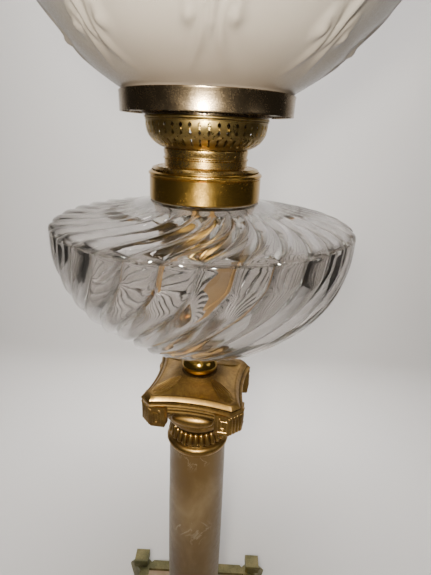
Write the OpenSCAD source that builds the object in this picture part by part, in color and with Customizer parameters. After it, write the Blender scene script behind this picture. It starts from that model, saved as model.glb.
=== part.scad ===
// Column oil lamp: a gilt and onyx pillar stand, a glass reservoir, a two-wick burner with its
// pierced gallery, a glass chimney and an opal glass shade. Millimetres, +Z up, and the origin is
// on the table under the middle of the column.

/* [Base] */
// Width across the two opposite rails of the base frame
base_w = 126; // [110:1:150]
// Height from the table to the underside of the frame
frame_lift = 20; // [14:1:28]
// Height of the frame, from its underside to the top of its rails
frame_h = 28; // [24:1:38]
// Width of a rail, seen from above
rail_w = 10; // [8:0.5:13]
// How far the ledge under the stone slab reaches inward
ledge_w = 4; // [3:0.5:6]
// Thickness of the ledge under the stone slab
ledge_h = 7; // [6:0.5:9]
// Thickness of the stone slab
slab_h = 18; // [14:1:20]
// Thickness of a corner foot, across its scroll
foot_w = 15; // [11:0.5:17]
// How far a corner foot stands out from the frame's cut corner
foot_reach = 22; // [18:1:28]
// Length of the cut across each corner of the frame
corner_cut = 20; // [18:1:26]
// Width of a corner knob
knob_w = 15; // [11:0.5:18]
// Height of a corner knob
knob_h = 8; // [6:0.5:12]
// Radius of the screws that hold the feet
foot_screw_r = 1.5; // [1.2:0.1:2]

/* [Column] */
// Length of the stone shaft
column_h = 222.5; // [170:1:270]
// Radius of the stone shaft at its ends
column_r = 22.2; // [18:0.2:26]
// How much wider the shaft is, in radius, at its middle
column_swell = 0.8; // [0:0.1:1.5]
// Radius of the hole down the stone parts
stone_bore_r = 5.2; // [4.5:0.1:7]
// Radius of the tie rod that clamps the stand together
rod_r = 4; // [3:0.1:4.2]
// Height of the turned foot under the shaft
column_foot_h = 13; // [10:1:18]

/* [Capital] */
// Radius of the ring at the top of the shaft
neck_ring_r = 24.3; // [23.5:0.1:29]
// Height of that ring
neck_ring_h = 8.5; // [6:0.5:10]
// Height of the beaded neck above the ring
bead_neck_h = 12.5; // [9:0.5:15]
// Number of beads around the neck
bead_count = 20; // [16:1:26]
// Radius of the round cushion under the abacus
echinus_r = 27; // [25:0.5:29]
// Distance from the middle of the capital to an abacus face, at its corners
abacus_reach = 34.4; // [33:0.2:38]
// Half the length of an abacus face between its cut corners
abacus_half = 28.9; // [27:0.1:30]
// How far the abacus faces are hollowed
abacus_hollow = 2.8; // [1:0.2:5]
// How far the corner blocks stand out past the abacus
block_out = 1.5; // [0:0.1:3]
// Height of the corner blocks of the abacus
abacus_h = 21; // [18:1:26]
// Height of the sloped cushion above the abacus
cushion_h = 8; // [6:0.5:12]
// How far the capital has turned on the tie rod, in degrees
capital_turn = -7; // [-15:1:15]
// Radius of the polished knuckle above the capital
knuckle_r = 13.4; // [11:0.2:15]
// Height of the knuckle
knuckle_h = 15; // [11:1:18]

/* [Reservoir] */
// Radius of the glass reservoir at its shoulder
font_r = 96.3; // [80:0.5:112]
// Height of the bowl, from its underside to the shoulder
font_bowl_h = 85; // [70:1:100]
// Height from the shoulder to the lower edge of the brass collar
font_top_h = 14.8; // [12:0.5:20]
// Thickness of the reservoir's wall
font_wall = 4; // [3:0.5:5]
// Radius of the glass peg under the reservoir
peg_r = 11; // [9:0.5:12]
// Length of the glass peg
peg_h = 8; // [5:0.5:10]
// Outer radius of the brass collar
collar_r = 35; // [33:0.1:41]
// Height of the brass collar
collar_h = 17.5; // [16:0.5:24]
// Thickness of the collar's wall
collar_wall = 1; // [0.8:0.1:1.5]

/* [Burner] */
// Width of a flat wick
wick_w = 25; // [20:0.5:30]
// Thickness of a flat wick
wick_t = 2.6; // [2:0.1:3.2]
// Length of a wick
wick_l = 126; // [100:1:130]
// Distance between the middles of the two wicks
wick_pitch = 11; // [10:0.5:13]
// Wall thickness of a wick tube
tube_wall = 0.6; // [0.5:0.1:0.8]
// Radius of the burner's drum
drum_r = 25.8; // [25:0.1:27]
// Height of the burner's drum
drum_h = 10; // [10:0.5:13]
// Sheet thickness of the pressed brass parts
sheet = 0.8; // [0.6:0.1:1]
// Radius of a winder spindle
spindle_r = 1.4; // [1.2:0.1:1.8]
// Radius of a spur wheel
spur_r = 4.4; // [4:0.1:5]
// Number of teeth on a spur wheel
spur_teeth = 14; // [10:1:18]
// Radius of a winder knob
winder_knob_r = 8; // [6:0.5:9]

/* [Gallery] */
// Radius of the pierced basket at its rim
basket_r = 37.9; // [36:0.1:44]
// Height of the pierced basket
basket_h = 18; // [16:0.5:24]
// Number of keyhole slots around the basket
slot_count = 44; // [30:1:48]
// Number of springs that grip the chimney
prong_count = 6; // [4:1:8]

/* [Chimney] */
// Radius of the chimney's foot
chimney_r = 30; // [28:0.5:31]
// Radius of the chimney at its bulge
chimney_bulge_r = 32; // [30:0.5:32.5]
// Radius of the chimney at its mouth
chimney_top_r = 22; // [18:0.5:26]
// Height of the chimney
chimney_h = 250; // [200:5:300]
// Thickness of the chimney's glass
chimney_wall = 1.8; // [1.5:0.1:2.5]

/* [Shade] */
// Outer radius of the shade ring
ring_r = 52; // [50:0.5:62]
// Height of the shade ring
ring_h = 11.4; // [9:0.2:16]
// Wall thickness of the shade ring
ring_wall = 1.2; // [1:0.1:1.6]
// Radius of the shade at its widest
shade_r = 114; // [95:1:135]
// Radius of the shade's crimped rim
shade_rim_r = 119; // [100:1:140]
// Height of the shade
shade_h = 134; // [110:1:160]
// Thickness of the shade's glass
shade_wall = 3; // [2.5:0.1:3.5]

/* [Hidden] */
// Gap between a fixed piece and one that lifts off it
lift_gap = 0.3;
// Radial gap around a turning spindle
running_gap = 0.06;
// Gap between pieces of one assembly
seat_gap = 0.1;
// Free space around a wick inside its tube
wick_gap = 0.35;
round_steps = 96;
small_steps = 32;

frame_top = frame_lift + frame_h;
slab_base = frame_lift + ledge_h;
slab_top = slab_base + slab_h;
slab_half = base_w / 2 - rail_w;
corner_diag = base_w / 2 * sqrt(2) - corner_cut / 2;
knob_diag = corner_diag + foot_reach * 0.42;
foot_screw_z = frame_lift + ledge_h / 2;
screw_head_r = foot_screw_r * 1.8;
screw_seat = (slab_half - ledge_w) * sqrt(2) - screw_head_r;

column_z = slab_top + column_foot_h;
neck_ring_z = column_z + column_h;
capital_z = neck_ring_z + neck_ring_h;
echinus_z = capital_z + bead_neck_h;
echinus_h = 17.8;
abacus_top = echinus_z + echinus_h + 16;
abacus_z = abacus_top - abacus_h;
cushion_top = abacus_top + cushion_h;
cup_z = cushion_top + knuckle_h;
cup_floor = 5;
cup_wall = 2;
peg_base = cup_z + cup_floor + seat_gap;
font_z = peg_base + peg_h;
shoulder_z = font_z + font_bowl_h;
collar_z = shoulder_z + font_top_h;
collar_top = collar_z + collar_h;
collar_inner = collar_r - collar_wall;
neck_h = 6;
neck_r = collar_inner - 2.5;
neck_bore = neck_r - font_wall;

ledge_ring_h = 2;
ledge_ring_z = collar_z + collar_h * 0.62;
ledge_ring_r = collar_inner - 1.5;
skirt_r = ledge_ring_r - 0.5;
ear_r = collar_inner - 0.4;
ear_h = 2;
ear_angle = 20;
ledge_start = 15;
ledge_angle = 46;
floor_z = collar_z + neck_h + 2;
flange_z = collar_top + lift_gap;
flange_h = 2.4;
drum_z = flange_z + flange_h;
spindle_z = drum_z + drum_h / 2 - 1;
tube_in_w = wick_w + 2 * wick_gap;
tube_in_t = wick_t + 2 * wick_gap;
tube_z = floor_z - 14;
spindle_x = wick_pitch / 2 + wick_t / 2 + lift_gap + spur_r;
spindle_back = drum_r + 16;
bracket_y = -wick_w / 2 - 3;
bracket_t = 1.6;
spur_t = 1.2;
spur_y = [-8, 0, 8];

basket_z = drum_z + drum_h + lift_gap;
basket_top = basket_z + basket_h;
deck_z = basket_z + basket_h * 0.58;
deck_t = 1;
chimney_z = deck_z + deck_t + lift_gap;
tube_top = chimney_z + 9;
wick_top = tube_top + 1.5;
dome_top = wick_top + 4.5;
dome_foot_r = chimney_r - chimney_wall - 2.5;
prong_r = chimney_r + 0.4;
prong_t = 0.7;
prong_w = 7;

hub_z = basket_top + lift_gap;
hub_inner = prong_r + prong_t + 3.1;
hub_outer = basket_r + 1;
ring_z = hub_z + 0.7;
ring_top = ring_z + ring_h;
ring_inner = ring_r - ring_wall;
seat_z = ring_z + 2.6;
seat_t = 1.2;
seat_inner = ring_inner - 5.5;
fitter_r = ring_inner - 1.3;
shade_z = seat_z + seat_t + lift_gap;

// ---- shared shapes ----

// A smooth line through a few points, with n steps between each pair.
function spline(p, n = 5) = [
    for (i = [0 : len(p) - 2], k = [0 : n - 1])
        let (t = k / n, a = p[max(i - 1, 0)], b = p[i], c = p[i + 1], d = p[min(i + 2, len(p) - 1)])
        0.5 * (2 * b + (c - a) * t + (2 * a - 5 * b + 4 * c - d) * t * t
            + (3 * b - a - 3 * c + d) * t * t * t),
    p[len(p) - 1]
];

// The same line, moved sideways by d towards the axis.
function inset_line(p, d) = [
    for (i = [0 : len(p) - 1])
        let (v = p[min(i + 1, len(p) - 1)] - p[max(i - 1, 0)])
        p[i] + d * [-v[1], v[0]] / norm(v)
];

function reversed(p) = [for (i = [len(p) - 1 : -1 : 0]) p[i]];

// The points of an arc around [x, y].
function arc(x, y, r, from, to, n = 8) = [
    for (k = [0 : n]) let (a = from + (to - from) * k / n) [x + r * cos(a), y + r * sin(a)]
];

module turned(profile, steps = round_steps) {
    rotate_extrude($fn = steps) polygon(profile);
}

module tube(r, bore, h, steps = round_steps) {
    difference() {
        cylinder(r = r, h = h, $fn = steps);
        translate([0, 0, -1]) cylinder(r = bore, h = h + 2, $fn = steps);
    }
}

module square_bar(half, h) {
    translate([-half, -half, 0]) cube([2 * half, 2 * half, h]);
}

// ---- base ----

module base_frame() {
    wall_h = frame_h - ledge_h;
    color("#8a7a3c") difference() {
        intersection() {
            translate([0, 0, frame_lift]) square_bar(base_w / 2, frame_h);
            translate([0, 0, frame_lift]) rotate(45) square_bar(corner_diag, frame_h);
        }
        translate([0, 0, slab_base]) square_bar(slab_half + seat_gap, wall_h + 1);
        // The way through, with a flat in each corner for a screw's head
        intersection() {
            translate([0, 0, frame_lift - 1]) square_bar(slab_half - ledge_w, ledge_h + 2);
            translate([0, 0, frame_lift - 1]) rotate(45) square_bar(screw_seat, ledge_h + 2);
        }
        // A shallow cove along the outside of each rail
        for (turn = [0 : 90 : 270])
            rotate(turn) translate([base_w / 2 + 3.4, base_w, frame_lift + frame_h * 0.55])
                rotate([90, 0, 0]) cylinder(r = 6, h = 2 * base_w, $fn = small_steps);
        each_corner() foot_screw_hole();
    }
}

module each_corner() {
    for (turn = [45 : 90 : 315]) rotate(turn) children();
}

module foot_screw_hole() {
    translate([0, 0, foot_screw_z]) rotate([0, 90, 0])
        cylinder(r = foot_screw_r + seat_gap, h = corner_diag + foot_reach * 0.4, $fn = small_steps);
}

// One scroll foot, standing out along +X from the frame's cut corner.
module scroll_foot() {
    inner = corner_diag + seat_gap;
    out = foot_reach;
    top = frame_top - 2;
    outer_line = spline([
        [inner + out * 0.74, top], [inner + out * 0.95, top - 6], [inner + out, top - 12],
        [inner + out * 0.72, top * 0.45], [inner + out * 0.52, top * 0.22], [inner + out * 0.78, 4],
        [inner + out * 0.86, 0]
    ], 4);
    inner_line = spline([[inner + out * 0.14, 0], [inner + out * 0.1, 9], [inner, frame_lift + 1]], 4);
    difference() {
        translate([0, foot_w / 2, 0]) rotate([90, 0, 0]) linear_extrude(foot_w)
            polygon(concat(outer_line, inner_line, [[inner, top]]));
        foot_screw_hole();
    }
}

module foot(turn) {
    color("#a08a45") rotate(turn) scroll_foot();
}

// A square cushion-shaped knob on top of a foot.
module knob(turn) {
    z = frame_top - 2 + seat_gap;
    h = knob_h + 2;
    color("#a08a45") rotate(turn) difference() {
        translate([knob_diag, 0, z]) rotate(45) intersection() {
            square_bar(knob_w / 2, h);
            translate([0, 0, h * 0.52]) rotate([90, 0, 0])
                cylinder(r = knob_w * 0.57, h = knob_w, center = true, $fn = small_steps);
            translate([0, 0, h * 0.52]) rotate([0, 90, 0])
                cylinder(r = knob_w * 0.57, h = knob_w, center = true, $fn = small_steps);
        }
        // Clear of the frame's corner, which stands a little higher than the foot
        translate([0, -knob_w, z - 1]) cube([corner_diag + seat_gap, 2 * knob_w, 3]);
    }
}

module foot_screws() {
    start = screw_seat - seat_gap;
    color("#777777") each_corner() translate([start, 0, foot_screw_z]) rotate([0, 90, 0]) {
        translate([0, 0, -2]) cylinder(r = screw_head_r, h = 2, $fn = small_steps);
        cylinder(r = foot_screw_r, h = corner_diag + foot_reach * 0.3 - start, $fn = small_steps);
    }
}

module stone_slab() {
    color("#c9b48f") difference() {
        translate([0, 0, slab_base]) square_bar(slab_half, slab_h);
        translate([0, 0, slab_base - 1]) cylinder(r = stone_bore_r, h = slab_h + 2, $fn = round_steps);
    }
}

bar_w = 22;
bar_t = 3;
washer_t = 1.5;
nut_h = 6;

module clamp_bar() {
    length = base_w - 2 * rail_w + 2 * rail_w * 0.7;
    color("#4a4743") difference() {
        translate([-length / 2, -bar_w / 2, frame_lift - bar_t]) cube([length, bar_w, bar_t]);
        translate([0, 0, frame_lift - bar_t - 1])
            cylinder(r = rod_r + seat_gap, h = bar_t + 2, $fn = small_steps);
    }
}

module rod_washer() {
    color("#8d8d88") translate([0, 0, frame_lift - bar_t - washer_t])
        tube(rod_r * 2.2, rod_r + seat_gap, washer_t, small_steps);
}

module rod_nut() {
    color("#8d8d88") translate([0, 0, frame_lift - bar_t - washer_t - nut_h]) difference() {
        cylinder(r = rod_r * 1.9, h = nut_h, $fn = 6);
        translate([0, 0, -1]) cylinder(r = rod_r + seat_gap, h = nut_h + 2, $fn = small_steps);
    }
}

module tie_rod() {
    start = frame_lift - bar_t - washer_t - nut_h - 2;
    color("#8d8d88") translate([0, 0, start])
        cylinder(r = rod_r, h = cushion_top + knuckle_h * 0.45 - start, $fn = small_steps);
}

// ---- column ----

module column_foot() {
    r = column_r;
    h = column_foot_h;
    color("#a08a45") translate([0, 0, slab_top]) turned(concat(
        [[rod_r + 1, 0], [r + 7.5, 0]],
        arc(r + 7.5, h * 0.22, h * 0.22, -90, 90),
        [[r + 5, h * 0.5]],
        arc(r + 5.6, h * 0.66, h * 0.16, 250, 110),
        arc(r + 2.6, h * 0.87, h * 0.13, -90, 90),
        [[rod_r + 1, h]]
    ));
}

module column_shaft() {
    steps = 12;
    side = [for (k = [0 : steps]) [column_r + column_swell * sin(180 * k / steps), column_h * k / steps]];
    color("#a48f55") translate([0, 0, column_z])
        turned(concat([[stone_bore_r, 0]], side, [[stone_bore_r, column_h]]));
}

// ---- capital ----

module neck_ring() {
    r = neck_ring_r;
    h = neck_ring_h;
    color("#b39a52") translate([0, 0, neck_ring_z]) turned(concat(
        [[rod_r + 1, 0], [r - 2.2, 0]],
        arc(r - h * 0.36, h * 0.4, h * 0.36, -60, 90),
        [[r - 4.6, h * 0.78], [r - 5, h], [rod_r + 1, h]]
    ));
}

// The plan of the abacus: a square with cut corners and hollowed faces, drawn inset by d.
module abacus_plan(d = 0) {
    a = abacus_reach - d;
    b = abacus_half - d * 0.42;
    polygon([for (turn = [0 : 90 : 270], t = [1 : -0.25 : -1])
        let (x = b * t, y = a - abacus_hollow * (1 - t * t))
        [x * cos(turn) - y * sin(turn), x * sin(turn) + y * cos(turn)]]);
}

// One corner block of the abacus, with its fluted end, along +X.
module corner_block() {
    reach = (abacus_reach + abacus_half) / sqrt(2) - 0.3 + block_out;
    depth = 15;
    width = 2 * (abacus_reach - abacus_half) / sqrt(2) + 4.6;
    top = abacus_h - 4.5;
    round_r = 5;
    difference() {
        translate([0, width / 2, 0]) rotate([90, 0, 0]) linear_extrude(width) polygon(concat(
            [[reach - depth, top], [reach - depth, 3]],
            arc(reach - round_r, round_r, round_r, 240, 360, 8),
            [[reach, top]]
        ));
        for (y = [-3, 0, 3])
            translate([reach + 0.6, y, -1]) cylinder(r = 1.2, h = top - 1, $fn = 16);
    }
}

module capital() {
    band_h = 5;
    neck_r0 = echinus_r - 8;
    top = abacus_top - 10;
    color("#a89048") rotate(capital_turn) difference() {
        union() {
            // Fluted neck and round cushion
            turned(concat(
                [[rod_r + 1, capital_z], [neck_r0 - 1, capital_z], [neck_r0, echinus_z]],
                arc(echinus_r - 7, echinus_z + 8, 7, -70, 60, 10),
                [[echinus_r - 6, top], [rod_r + 1, top]]
            ));
            for (k = [0 : bead_count - 1])
                rotate(360 * k / bead_count) translate([neck_r0 - 0.2, 0, capital_z])
                    cylinder(r = 1.9, h = bead_neck_h * 0.75, $fn = 16);
            // Stepped abacus, with a block under each corner
            translate([0, 0, abacus_top - band_h]) linear_extrude(band_h) abacus_plan(0.8);
            translate([0, 0, abacus_top - 7]) linear_extrude(3) abacus_plan(1.6);
            translate([0, 0, abacus_top - 11]) linear_extrude(5) abacus_plan(3);
            translate([0, 0, abacus_z]) each_corner() corner_block();
        }
        translate([0, 0, abacus_top - 12]) cylinder(r = rod_r + 1, h = 13, $fn = small_steps);
    }
}

// The sloped top of the capital, which narrows in steps that follow the abacus.
module capital_cap() {
    steps = 5;
    foot = abacus_reach - 4;
    head = knuckle_r * 0.95;
    color("#a89048") rotate(capital_turn) difference() {
        for (k = [0 : steps - 1])
            let (t = k / steps, half = head + (foot - head) * pow(1 - t, 1.6))
            translate([0, 0, abacus_top + (k > 0 ? t * cushion_h : seat_gap)])
                linear_extrude(cushion_h * (1 - t) - (k > 0 ? 0 : seat_gap)) cap_plan(half);
        translate([0, 0, abacus_top - 1]) cylinder(r = rod_r + 1, h = cushion_h + 2, $fn = small_steps);
    }
}

module cap_plan(half) {
    cut = half * 0.14;
    polygon([for (turn = [0 : 90 : 270], x = [half - cut, cut - half])
        [x * cos(turn) - half * sin(turn), x * sin(turn) + half * cos(turn)]]);
}

module knuckle() {
    r = knuckle_r;
    h = knuckle_h;
    color("#c7a33f") translate([0, 0, cushion_top]) difference() {
        turned(concat(
            [[0, 0], [r - 2, 0]],
            spline([[r - 2.6, 0.6], [r, h * 0.42], [r * 0.86, h * 0.74], [r * 0.7, h * 0.88]], 5),
            [[r * 0.78, h], [0, h]]
        ));
        translate([0, 0, -1]) cylinder(r = rod_r + seat_gap, h = h + 2, $fn = small_steps);
    }
}

// The cup that the reservoir's glass peg is cemented in, with the stud that screws into the knuckle.
module font_cup() {
    stud_h = knuckle_h * 0.4;
    r0 = knuckle_r * 0.78;
    r1 = peg_r + seat_gap + cup_wall;
    color("#8c6f2b") translate([0, 0, cup_z]) union() {
        turned(concat(
            [[0, 0], [r0, 0]],
            spline([[r0, 0], [r0 + 0.8, 2], [r1, cup_floor + 1.6]], 4),
            [[r1 + 1.6, cup_floor + peg_h - 0.6], [peg_r + seat_gap, cup_floor + peg_h - 0.6],
             [peg_r + seat_gap, cup_floor], [0, cup_floor]]
        ));
        translate([0, 0, -stud_h]) cylinder(r = rod_r, h = stud_h + 1, $fn = small_steps);
    }
}

// ---- reservoir ----

// The outside of the glass, from under the bowl, round the shoulder and up to the neck.
bowl_line = concat(
    spline([
        [font_r * 0.16, font_z], [font_r * 0.42, font_z + font_bowl_h * 0.06],
        [font_r * 0.6, font_z + font_bowl_h * 0.155], [font_r * 0.705, font_z + font_bowl_h * 0.25],
        [font_r * 0.84, font_z + font_bowl_h * 0.4], [font_r * 0.936, font_z + font_bowl_h * 0.58],
        [font_r * 0.99, font_z + font_bowl_h * 0.79], [font_r * 0.998, shoulder_z - 3]
    ], 4),
    arc(font_r - 3, shoulder_z, 3, 10, 75, 4),
    spline([
        [font_r * 0.9, shoulder_z + font_top_h * 0.28], [collar_r + 23.2, shoulder_z + font_top_h * 0.6],
        [collar_r + 8.2, shoulder_z + font_top_h * 0.82], [collar_r + 0.5, collar_z - 0.6]
    ], 3)
);

module font() {
    outer = concat(bowl_line, [[neck_r, collar_z - seat_gap], [neck_r, collar_z + neck_h]]);
    inner = concat(
        inset_line(bowl_line, font_wall),
        [[neck_bore, collar_z - font_wall], [neck_bore, collar_z + neck_h]]
    );
    color("#dfe3e2") union() {
        turned(concat([[0, font_z]], outer, reversed(inner), [[0, inner[0][1]]]));
        translate([0, 0, peg_base]) cylinder(r = peg_r, h = peg_h + 1, $fn = round_steps);
    }
}

module neck_cement() {
    color("#e6dfcf") translate([0, 0, collar_z + 0.6])
        tube(collar_inner - seat_gap, neck_r + seat_gap, neck_h - 0.8);
}

module collar() {
    r = collar_r;
    bead = 1.1;
    color("#b8912f") union() {
        translate([0, 0, collar_z]) turned(concat(
            [[collar_inner, 0], [r, 0], [r, collar_h - 3 * bead]],
            arc(r - 0.5, collar_h - 1.6 * bead, bead, -60, 80, 6),
            [[r - 0.4, collar_h - 0.6], [r - 0.4, collar_h], [collar_inner, collar_h]]
        ));
        // Two bayonet ledges inside
        for (turn = [0, 180])
            rotate(turn + ledge_start) translate([0, 0, ledge_ring_z])
                rotate_extrude(angle = ledge_angle, $fn = round_steps)
                    translate([ledge_ring_r, 0]) square([collar_inner - ledge_ring_r + 0.2, ledge_ring_h]);
    }
}

// ---- burner ----

module burner_flange() {
    skirt_h = flange_z - floor_z - 1;
    color("#a5822c") union() {
        // Stepped cover that rests on the collar
        translate([0, 0, flange_z]) turned([
            [drum_r - sheet - 2, 0], [collar_r - 1.6, 0], [collar_r - 1.6, 0.8], [collar_r - 3.2, 1.2],
            [drum_r + 3.4, 1.4], [drum_r + 2.4, 2], [drum_r + 1, flange_h], [drum_r - sheet - 2, flange_h]
        ]);
        // Skirt inside the collar, with two bayonet ears
        translate([0, 0, floor_z + 1]) tube(skirt_r, skirt_r - sheet, skirt_h + 0.5);
        for (turn = [0, 180])
            rotate(turn - ear_angle / 2) translate([0, 0, floor_z + 1])
                rotate_extrude(angle = ear_angle, $fn = round_steps)
                    translate([skirt_r - 0.4, 0]) square([ear_r - skirt_r + 0.4, ear_h]);
    }
}

module burner_floor() {
    color("#8f7630") difference() {
        translate([0, 0, floor_z]) cylinder(r = skirt_r - 0.2, h = 1, $fn = round_steps);
        for (side = [-1, 1])
            translate([side * wick_pitch / 2, 0, floor_z + 0.5])
                cube([tube_in_t + 2 * tube_wall + 2 * seat_gap, tube_in_w + 2 * tube_wall + 2 * seat_gap, 3],
                     center = true);
    }
}

module burner_drum() {
    r = drum_r;
    color("#ad8a34") difference() {
        translate([0, 0, drum_z]) turned(concat(
            [[r - sheet, 0], [r, 0], [r, drum_h * 0.42]],
            arc(r, drum_h * 0.5, 0.6, -80, 80, 4),
            [[r + 0.1, drum_h * 0.58], [r + 0.4, drum_h * 0.9], [r, drum_h], [r - sheet, drum_h]]
        ));
        for (side = [-1, 1])
            translate([side * spindle_x, 0, spindle_z]) rotate([-90, 0, 0])
                cylinder(r = spindle_r * 2 + seat_gap, h = drum_r + 5, $fn = small_steps);
    }
}

module wick_tube(side) {
    out_t = tube_in_t + 2 * tube_wall;
    out_w = tube_in_w + 2 * tube_wall;
    h = tube_top - tube_z;
    slot_t = spur_t + 0.8;
    color("#9a7d33") translate([side * wick_pitch / 2, 0, tube_z]) difference() {
        translate([-out_t / 2, -out_w / 2, 0]) cube([out_t, out_w, h]);
        translate([-tube_in_t / 2, -tube_in_w / 2, -1]) cube([tube_in_t, tube_in_w, h + 2]);
        for (y = spur_y)
            translate([side * out_t / 2, y, spindle_z - tube_z])
                cube([out_t, slot_t, 2 * spur_r + 1], center = true);
    }
}

// A bush around each spindle where it leaves the drum.
module spindle_bushes() {
    length = 6;
    start = sqrt(drum_r * drum_r - spindle_x * spindle_x) - 3;
    color("#a5822c") for (side = [-1, 1])
        translate([side * spindle_x, start, spindle_z]) rotate([-90, 0, 0])
            tube(spindle_r * 2, spindle_r + running_gap, length, small_steps);
}

// The plate that carries the inner ends of both spindles.
module spindle_bracket() {
    half_w = spindle_x + spindle_r * 2.4;
    top = spindle_z + spindle_r * 2.4;
    color("#9a7d33") difference() {
        translate([-half_w, bracket_y - bracket_t, floor_z + 1 + seat_gap])
            cube([2 * half_w, bracket_t, top - floor_z - 1]);
        for (side = [-1, 1])
            translate([side * spindle_x, bracket_y - bracket_t - 1, spindle_z]) rotate([-90, 0, 0])
                cylinder(r = spindle_r + running_gap, h = bracket_t + 2, $fn = small_steps);
    }
}

module wick(side) {
    color("#d8c79c") translate([side * wick_pitch / 2 - wick_t / 2, -wick_w / 2, wick_top - wick_l])
        cube([wick_t, wick_w, wick_l]);
}

module spindle(side) {
    start = bracket_y - bracket_t - 1;
    color("#8d8d88") translate([side * spindle_x, start, spindle_z]) rotate([-90, 0, 0])
        cylinder(r = spindle_r, h = spindle_back - start, $fn = small_steps);
}

// Three toothed wheels on one spindle, one behind each slot of the wick tube.
module spur_wheels(side) {
    root_r = spur_r * 0.8;
    pitch = 360 / spur_teeth;
    outline = [for (k = [0 : spur_teeth - 1], s = [0, 1])
        let (a = (k + s / 2) * pitch, r = s == 0 ? spur_r : root_r) [r * cos(a), r * sin(a)]];
    color("#9a7d33") for (y = spur_y)
        translate([side * spindle_x, y - spur_t / 2, spindle_z]) rotate([-90, 0, 0]) difference() {
            linear_extrude(spur_t) polygon(outline);
            translate([0, 0, -1]) cylinder(r = spindle_r, h = spur_t + 2, $fn = small_steps);
        }
}

module winder_knob(side) {
    t = 4;
    r = min(winder_knob_r, spindle_x - 1);
    notches = 24;
    color("#b8912f") translate([side * (spindle_x), spindle_back - 1, spindle_z]) rotate([-90, 0, 0])
        difference() {
            cylinder(r = r, h = t, $fn = round_steps);
            translate([0, 0, -1]) cylinder(r = spindle_r, h = 2, $fn = small_steps);
            for (k = [0 : notches - 1])
                rotate(360 * k / notches) translate([r + 0.3, 0, -1]) cylinder(r = 0.7, h = t + 2, $fn = 16);
        }
}

// ---- gallery ----

// The outside of the basket, from its neck up to its rim.
basket_line = spline([
    [drum_r + 0.6, 0], [basket_r - 10.1, basket_h * 0.033], [basket_r - 8.3, basket_h * 0.083],
    [basket_r - 5.9, basket_h * 0.172], [basket_r - 3.7, basket_h * 0.294], [basket_r - 2, basket_h * 0.456],
    [basket_r - 1.1, basket_h * 0.633], [basket_r - 0.9, basket_h * 0.8], [basket_r - 0.9, basket_h - 2]
], 4);

// A keyhole slot of total height h, pushed out along +X: a round head, a narrow stem and a small foot.
module keyhole_cutter(h, head_r, start, length) {
    translate([start, 0, 0]) rotate([0, 90, 0]) {
        translate([-h / 2 + head_r, 0, 0]) cylinder(r = head_r, h = length, $fn = 16);
        translate([h / 2 - head_r * 0.8, 0, 0]) cylinder(r = head_r * 0.8, h = length, $fn = 16);
    }
    translate([start, -head_r * 0.4, -h / 2 + head_r]) cube([length, head_r * 0.8, h - 2 * head_r]);
}

module basket() {
    bead = 0.9;
    outer = concat(basket_line, arc(basket_r - bead, basket_h - bead, bead, -60, 90, 6));
    inner = concat(inset_line(basket_line, sheet), [[basket_r - 2 * bead, basket_h]]);
    color("#94803c") translate([0, 0, basket_z]) difference() {
        turned(concat(outer, reversed(inner)));
        for (k = [0 : slot_count - 1])
            rotate(360 * k / slot_count) translate([0, 0, basket_h * 0.67])
                keyhole_cutter(basket_h * 0.36, 0.9, basket_r - 6, 10);
    }
}

// The floor inside the basket: it carries the chimney, and air comes up through its holes.
module gallery_deck() {
    hole_r = 1.2;
    holes = 28;
    deck_r = basket_r - 1.5 - sheet;
    color("#8f7a38") translate([0, 0, deck_z]) difference() {
        cylinder(r = deck_r, h = deck_t, $fn = round_steps);
        translate([0, 0, -1]) cylinder(r = dome_foot_r - 4, h = deck_t + 2, $fn = round_steps);
        for (k = [0 : holes - 1])
            rotate(360 * k / holes) translate([dome_foot_r - 1.8, 0, -1])
                cylinder(r = hole_r, h = deck_t + 2, $fn = 16);
    }
}

// Spring strips around the foot of the chimney.
module chimney_prongs() {
    h = 13;
    color("#b8912f") translate([0, 0, deck_z + deck_t]) for (k = [0 : prong_count - 1])
        rotate(360 * (k + 0.5) / prong_count - prong_w / prong_r * 180 / PI / 2)
            rotate_extrude(angle = prong_w / prong_r * 180 / PI, $fn = round_steps)
                polygon([[prong_r, 0], [prong_r + 2, 0], [prong_r + 2, prong_t], [prong_r + prong_t, 1.4],
                         [prong_r + prong_t, h - 2], [prong_r + prong_t + 1, h], [prong_r + 1, h],
                         [prong_r, h - 2]]);
}

// The deflector over the wicks, with one long slot for each.
module burner_dome() {
    foot = deck_z + deck_t;
    h = dome_top - foot;
    r = dome_foot_r;
    line = spline([[r, 0.8], [r - 1, h * 0.35], [r * 0.86, h * 0.68], [r * 0.55, h * 0.93], [0, h]], 5);
    inner = [for (p = reversed(inset_line(line, sheet))) [max(p[0], 0), p[1]]];
    slot_w = wick_pitch - 5;
    color("#b08d3a") translate([0, 0, foot]) difference() {
        turned(concat([[r + 1, 0], [r + 1, 0.8]], line, inner, [[r - sheet, 0]]));
        for (side = [-1, 1])
            translate([side * wick_pitch / 2, 0, h]) cube([slot_w, tube_in_w + 4, h], center = true);
    }
}

// ---- chimney and shade ----

module chimney() {
    h = chimney_h;
    line = spline([
        [chimney_r, 0], [chimney_r, h * 0.1], [chimney_bulge_r, h * 0.19], [chimney_bulge_r * 0.95, h * 0.27],
        [chimney_top_r * 1.12, h * 0.42], [chimney_top_r, h * 0.56], [chimney_top_r * 0.98, h * 0.8],
        [chimney_top_r, h]
    ], 5);
    color("#e8eeee") translate([0, 0, chimney_z])
        turned(concat(line, reversed(inset_line(line, chimney_wall))));
}

// The band around the shade's foot, with the flange that the glass stands on.
module shade_ring() {
    color("#7d6a3a") turned([
        [seat_inner, seat_z], [ring_inner, seat_z], [ring_inner, ring_z], [ring_r - 0.4, ring_z],
        [ring_r - 0.3, ring_z + 0.8], [ring_r, ring_top - 0.6], [ring_r - 0.4, ring_top],
        [ring_inner, ring_top], [ring_inner, seat_z + seat_t], [seat_inner, seat_z + seat_t]
    ]);
}

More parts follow.
